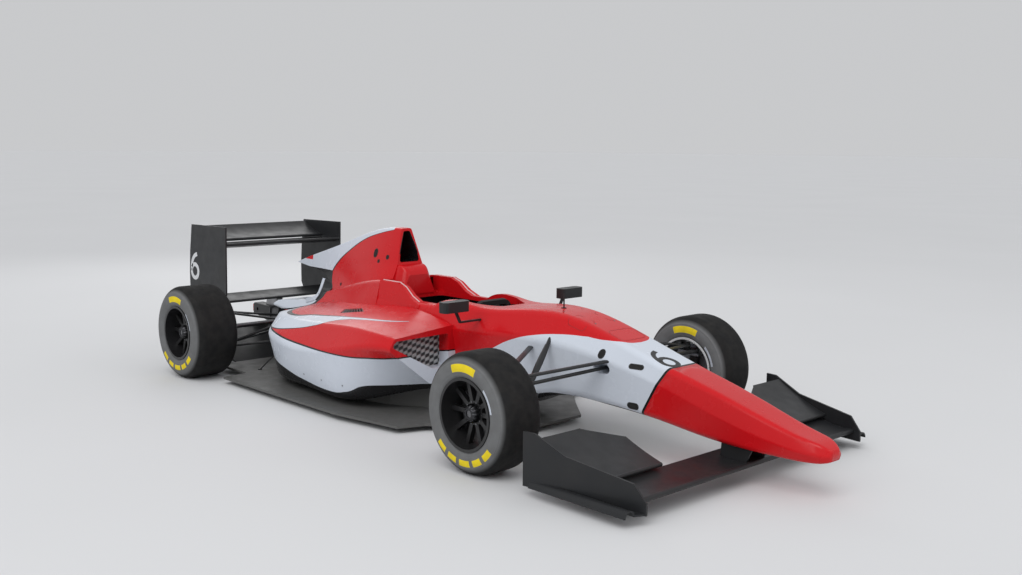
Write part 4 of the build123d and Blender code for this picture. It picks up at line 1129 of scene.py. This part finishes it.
def on_wheel(u, v, rise=0.0):
    """Point on the hand wheel's face, u to the driver's right and v up."""
    return WHEEL_FACE + WHEEL_RIGHT * u + WHEEL_UP * v - WHEEL_WAY * rise


def knob(mesh, spot, radius, sides, rise):
    """Round knob on the hand wheel's face."""
    outline = [on_wheel(spot[0] + du, spot[1] + dv) for du, dv in disc(radius, sides)]
    slab(mesh, outline, -WHEEL_WAY, rise)


mesh = bmesh.new()
for side in (1, -1):
    run = []
    for t in arc(-GRIP_REACH, GRIP_REACH, 13):
        run.append(on_wheel(side * (GRIP_OUT - GRIP_BOW * t * t), GRIP_HALF * t, -GRIP_SINK))
    sweep(mesh, run, [-WHEEL_WAY] * len(run), disc(GRIP_RADIUS, 16))
piece("wheel_grips", mesh, "grip", "hand_wheel")

mesh = bmesh.new()
slab(mesh, [on_wheel(u, v) for u, v in SCREEN], -WHEEL_WAY, SCREEN_RISE)
piece("wheel_screen", mesh, "screen", "hand_wheel", smooth=False)

for finish, spots in BUTTONS.items():
    mesh = bmesh.new()
    for spot in spots:
        knob(mesh, spot, BUTTON_RADIUS, 16, BUTTON_RISE)
    piece("wheel_" + finish, mesh, finish, "hand_wheel")

mesh = bmesh.new()
for spot in DIALS:
    knob(mesh, spot, DIAL_RADIUS, 20, DIAL_RISE)
piece("wheel_dials", mesh, "steel", "hand_wheel")

# Harness on the seat: shoulder belts down the back, lap belts across the pan, one round buckle
BELT_LIFT = 0.002
BELT_SECTION = strip(0.050, 0.002)
# Ends of a shoulder belt, as (y, z), and of a lap belt, as (station, y)
SHOULDER_FOOT = (0.045, 0.19)
SHOULDER_HEAD = (0.085, 0.50)
LAP_START = (-1.235, 0.020)
LAP_END = (-1.265, 0.138)
BACK_SEEN_STATION = -1.0
PAN_SEEN_Z = 0.9
# Buckle's two steps, as (radius, rise)
BUCKLE = [(0.032, 0.012), (0.022, 0.018)]


def blend(start, end, t):
    """Numbers a share t of the way from the start's to the end's."""
    return [a + (b - a) * t for a, b in zip(start, end)]


def on_back(y, z, side):
    """Seat back seen from the front."""
    return drop("seat", at((BACK_SEEN_STATION, y, z), side), (-1, 0, 0))


def on_pan(station, y, side):
    """Seat pan seen from above."""
    return drop("seat", at((station, y, PAN_SEEN_Z), side), (0, 0, -1))


def belt(mesh, spots):
    """Flat web laid over points on the seat."""
    lay(mesh, [(place + normal * BELT_LIFT, normal) for place, normal in spots], BELT_SECTION)


mesh = bmesh.new()
for side in (1, -1):
    belt(mesh, [on_back(*blend(SHOULDER_FOOT, SHOULDER_HEAD, t), side) for t in arc(0, 1, 12)])
    belt(mesh, [on_pan(*blend(LAP_START, LAP_END, t), side) for t in arc(0, 1, 9)])
piece("harness_belts", mesh, "belt", "chassis", smooth=False)

mesh = bmesh.new()
place, normal = on_pan(LAP_START[0], 0, 1)
for radius, rise in BUCKLE:
    slab(mesh, round_on(place, normal, radius, 28), normal, rise)
piece("harness_buckle", mesh, "steel", "chassis")

# Floor, backdrop and light
STAGE_SIZE = 400
STAGE_GREY = (0.66, 0.665, 0.675, 1)
STAGE_BLOTCH = (0.63, 0.635, 0.645, 1)
SKY_COLOR = (0.97, 0.98, 1.0, 1)
SKY_STRENGTH = 0.62
BACKDROP_STRENGTH = 0.60
stage_paint = Paint("studio_floor", rough=0.8)
stage_paint.bsdf.inputs["Specular IOR Level"].default_value = 0.1
stage_paint.color(STAGE_GREY, dirt=STAGE_BLOTCH, amount=0.5, scale=0.4)
bpy.ops.mesh.primitive_plane_add(size=STAGE_SIZE, location=(0, 0, 0))
ground = bpy.context.object
ground.name = "studio_floor"
ground.data.materials.append(stage_paint.mat)

world = bpy.data.worlds.new("studio")
scene.world = world
world.use_nodes = True
sky = world.node_tree.nodes["Background"]
sky.inputs["Color"].default_value = SKY_COLOR
rays = world.node_tree.nodes.new("ShaderNodeLightPath")
seen = world.node_tree.nodes.new("ShaderNodeMapRange")
seen.inputs["To Min"].default_value = SKY_STRENGTH
seen.inputs["To Max"].default_value = BACKDROP_STRENGTH
world.node_tree.links.new(rays.outputs["Is Camera Ray"], seen.inputs["Value"])
world.node_tree.links.new(seen.outputs[0], sky.inputs["Strength"])


def lamp(name, kind, energy, way):
    """Lamp that shines along the way given."""
    data = bpy.data.lights.new(name, kind)
    data.energy = energy
    obj = bpy.data.objects.new(name, data)
    scene.collection.objects.link(obj)
    obj.rotation_euler = way.to_track_quat("-Z", "Y").to_euler()
    return obj


sun = lamp("soft_key", "SUN", 1.1, Vector((-0.35, 0.62, -1.0)))
sun.data.angle = math.radians(40)
# Soft boxes round the car, as (name, place, power)
BOXES = [
    ("side_box", (2.0, -7.0, 4.5), 90),
    ("front_box", (7.5, 2.0, 4.5), 70),
    ("rear_box", (-7.0, 3.0, 4.5), 70),
]
BOX_SIZE = 4.0
BOX_TARGET = Vector((0, 0, 0.3))
for name, place, power in BOXES:
    box = lamp(name, "AREA", power, BOX_TARGET - Vector(place))
    box.location = place
    box.data.size = BOX_SIZE

# Camera solved from the wheels in the photograph
CAM_PLACE = Vector((AXLE_X + 3.618, -4.033, 1.481))
CAM_YAW = math.radians(136.75)
CAM_PITCH = math.radians(-7.394)
CAM_ROLL = math.radians(0.447)
PHOTO_WIDTH = 1022
FOCAL_PIXELS = 1089.4
level = math.cos(CAM_PITCH)
look = Vector((level * math.cos(CAM_YAW), level * math.sin(CAM_YAW), math.sin(CAM_PITCH)))
right = look.cross(Vector((0, 0, 1))).normalized()
up = right.cross(look)
rolled_right = right * math.cos(CAM_ROLL) + up * math.sin(CAM_ROLL)
rolled_up = up * math.cos(CAM_ROLL) - right * math.sin(CAM_ROLL)
cam_data = bpy.data.cameras.new("photo_camera")
cam_data.sensor_fit = "HORIZONTAL"
cam_data.sensor_width = 36.0
cam_data.lens = FOCAL_PIXELS / PHOTO_WIDTH * cam_data.sensor_width
cam = bpy.data.objects.new("photo_camera", cam_data)
scene.collection.objects.link(cam)
pose = Matrix((rolled_right, rolled_up, -look)).transposed().to_4x4()
pose.translation = CAM_PLACE
cam.matrix_world = pose
scene.camera = cam
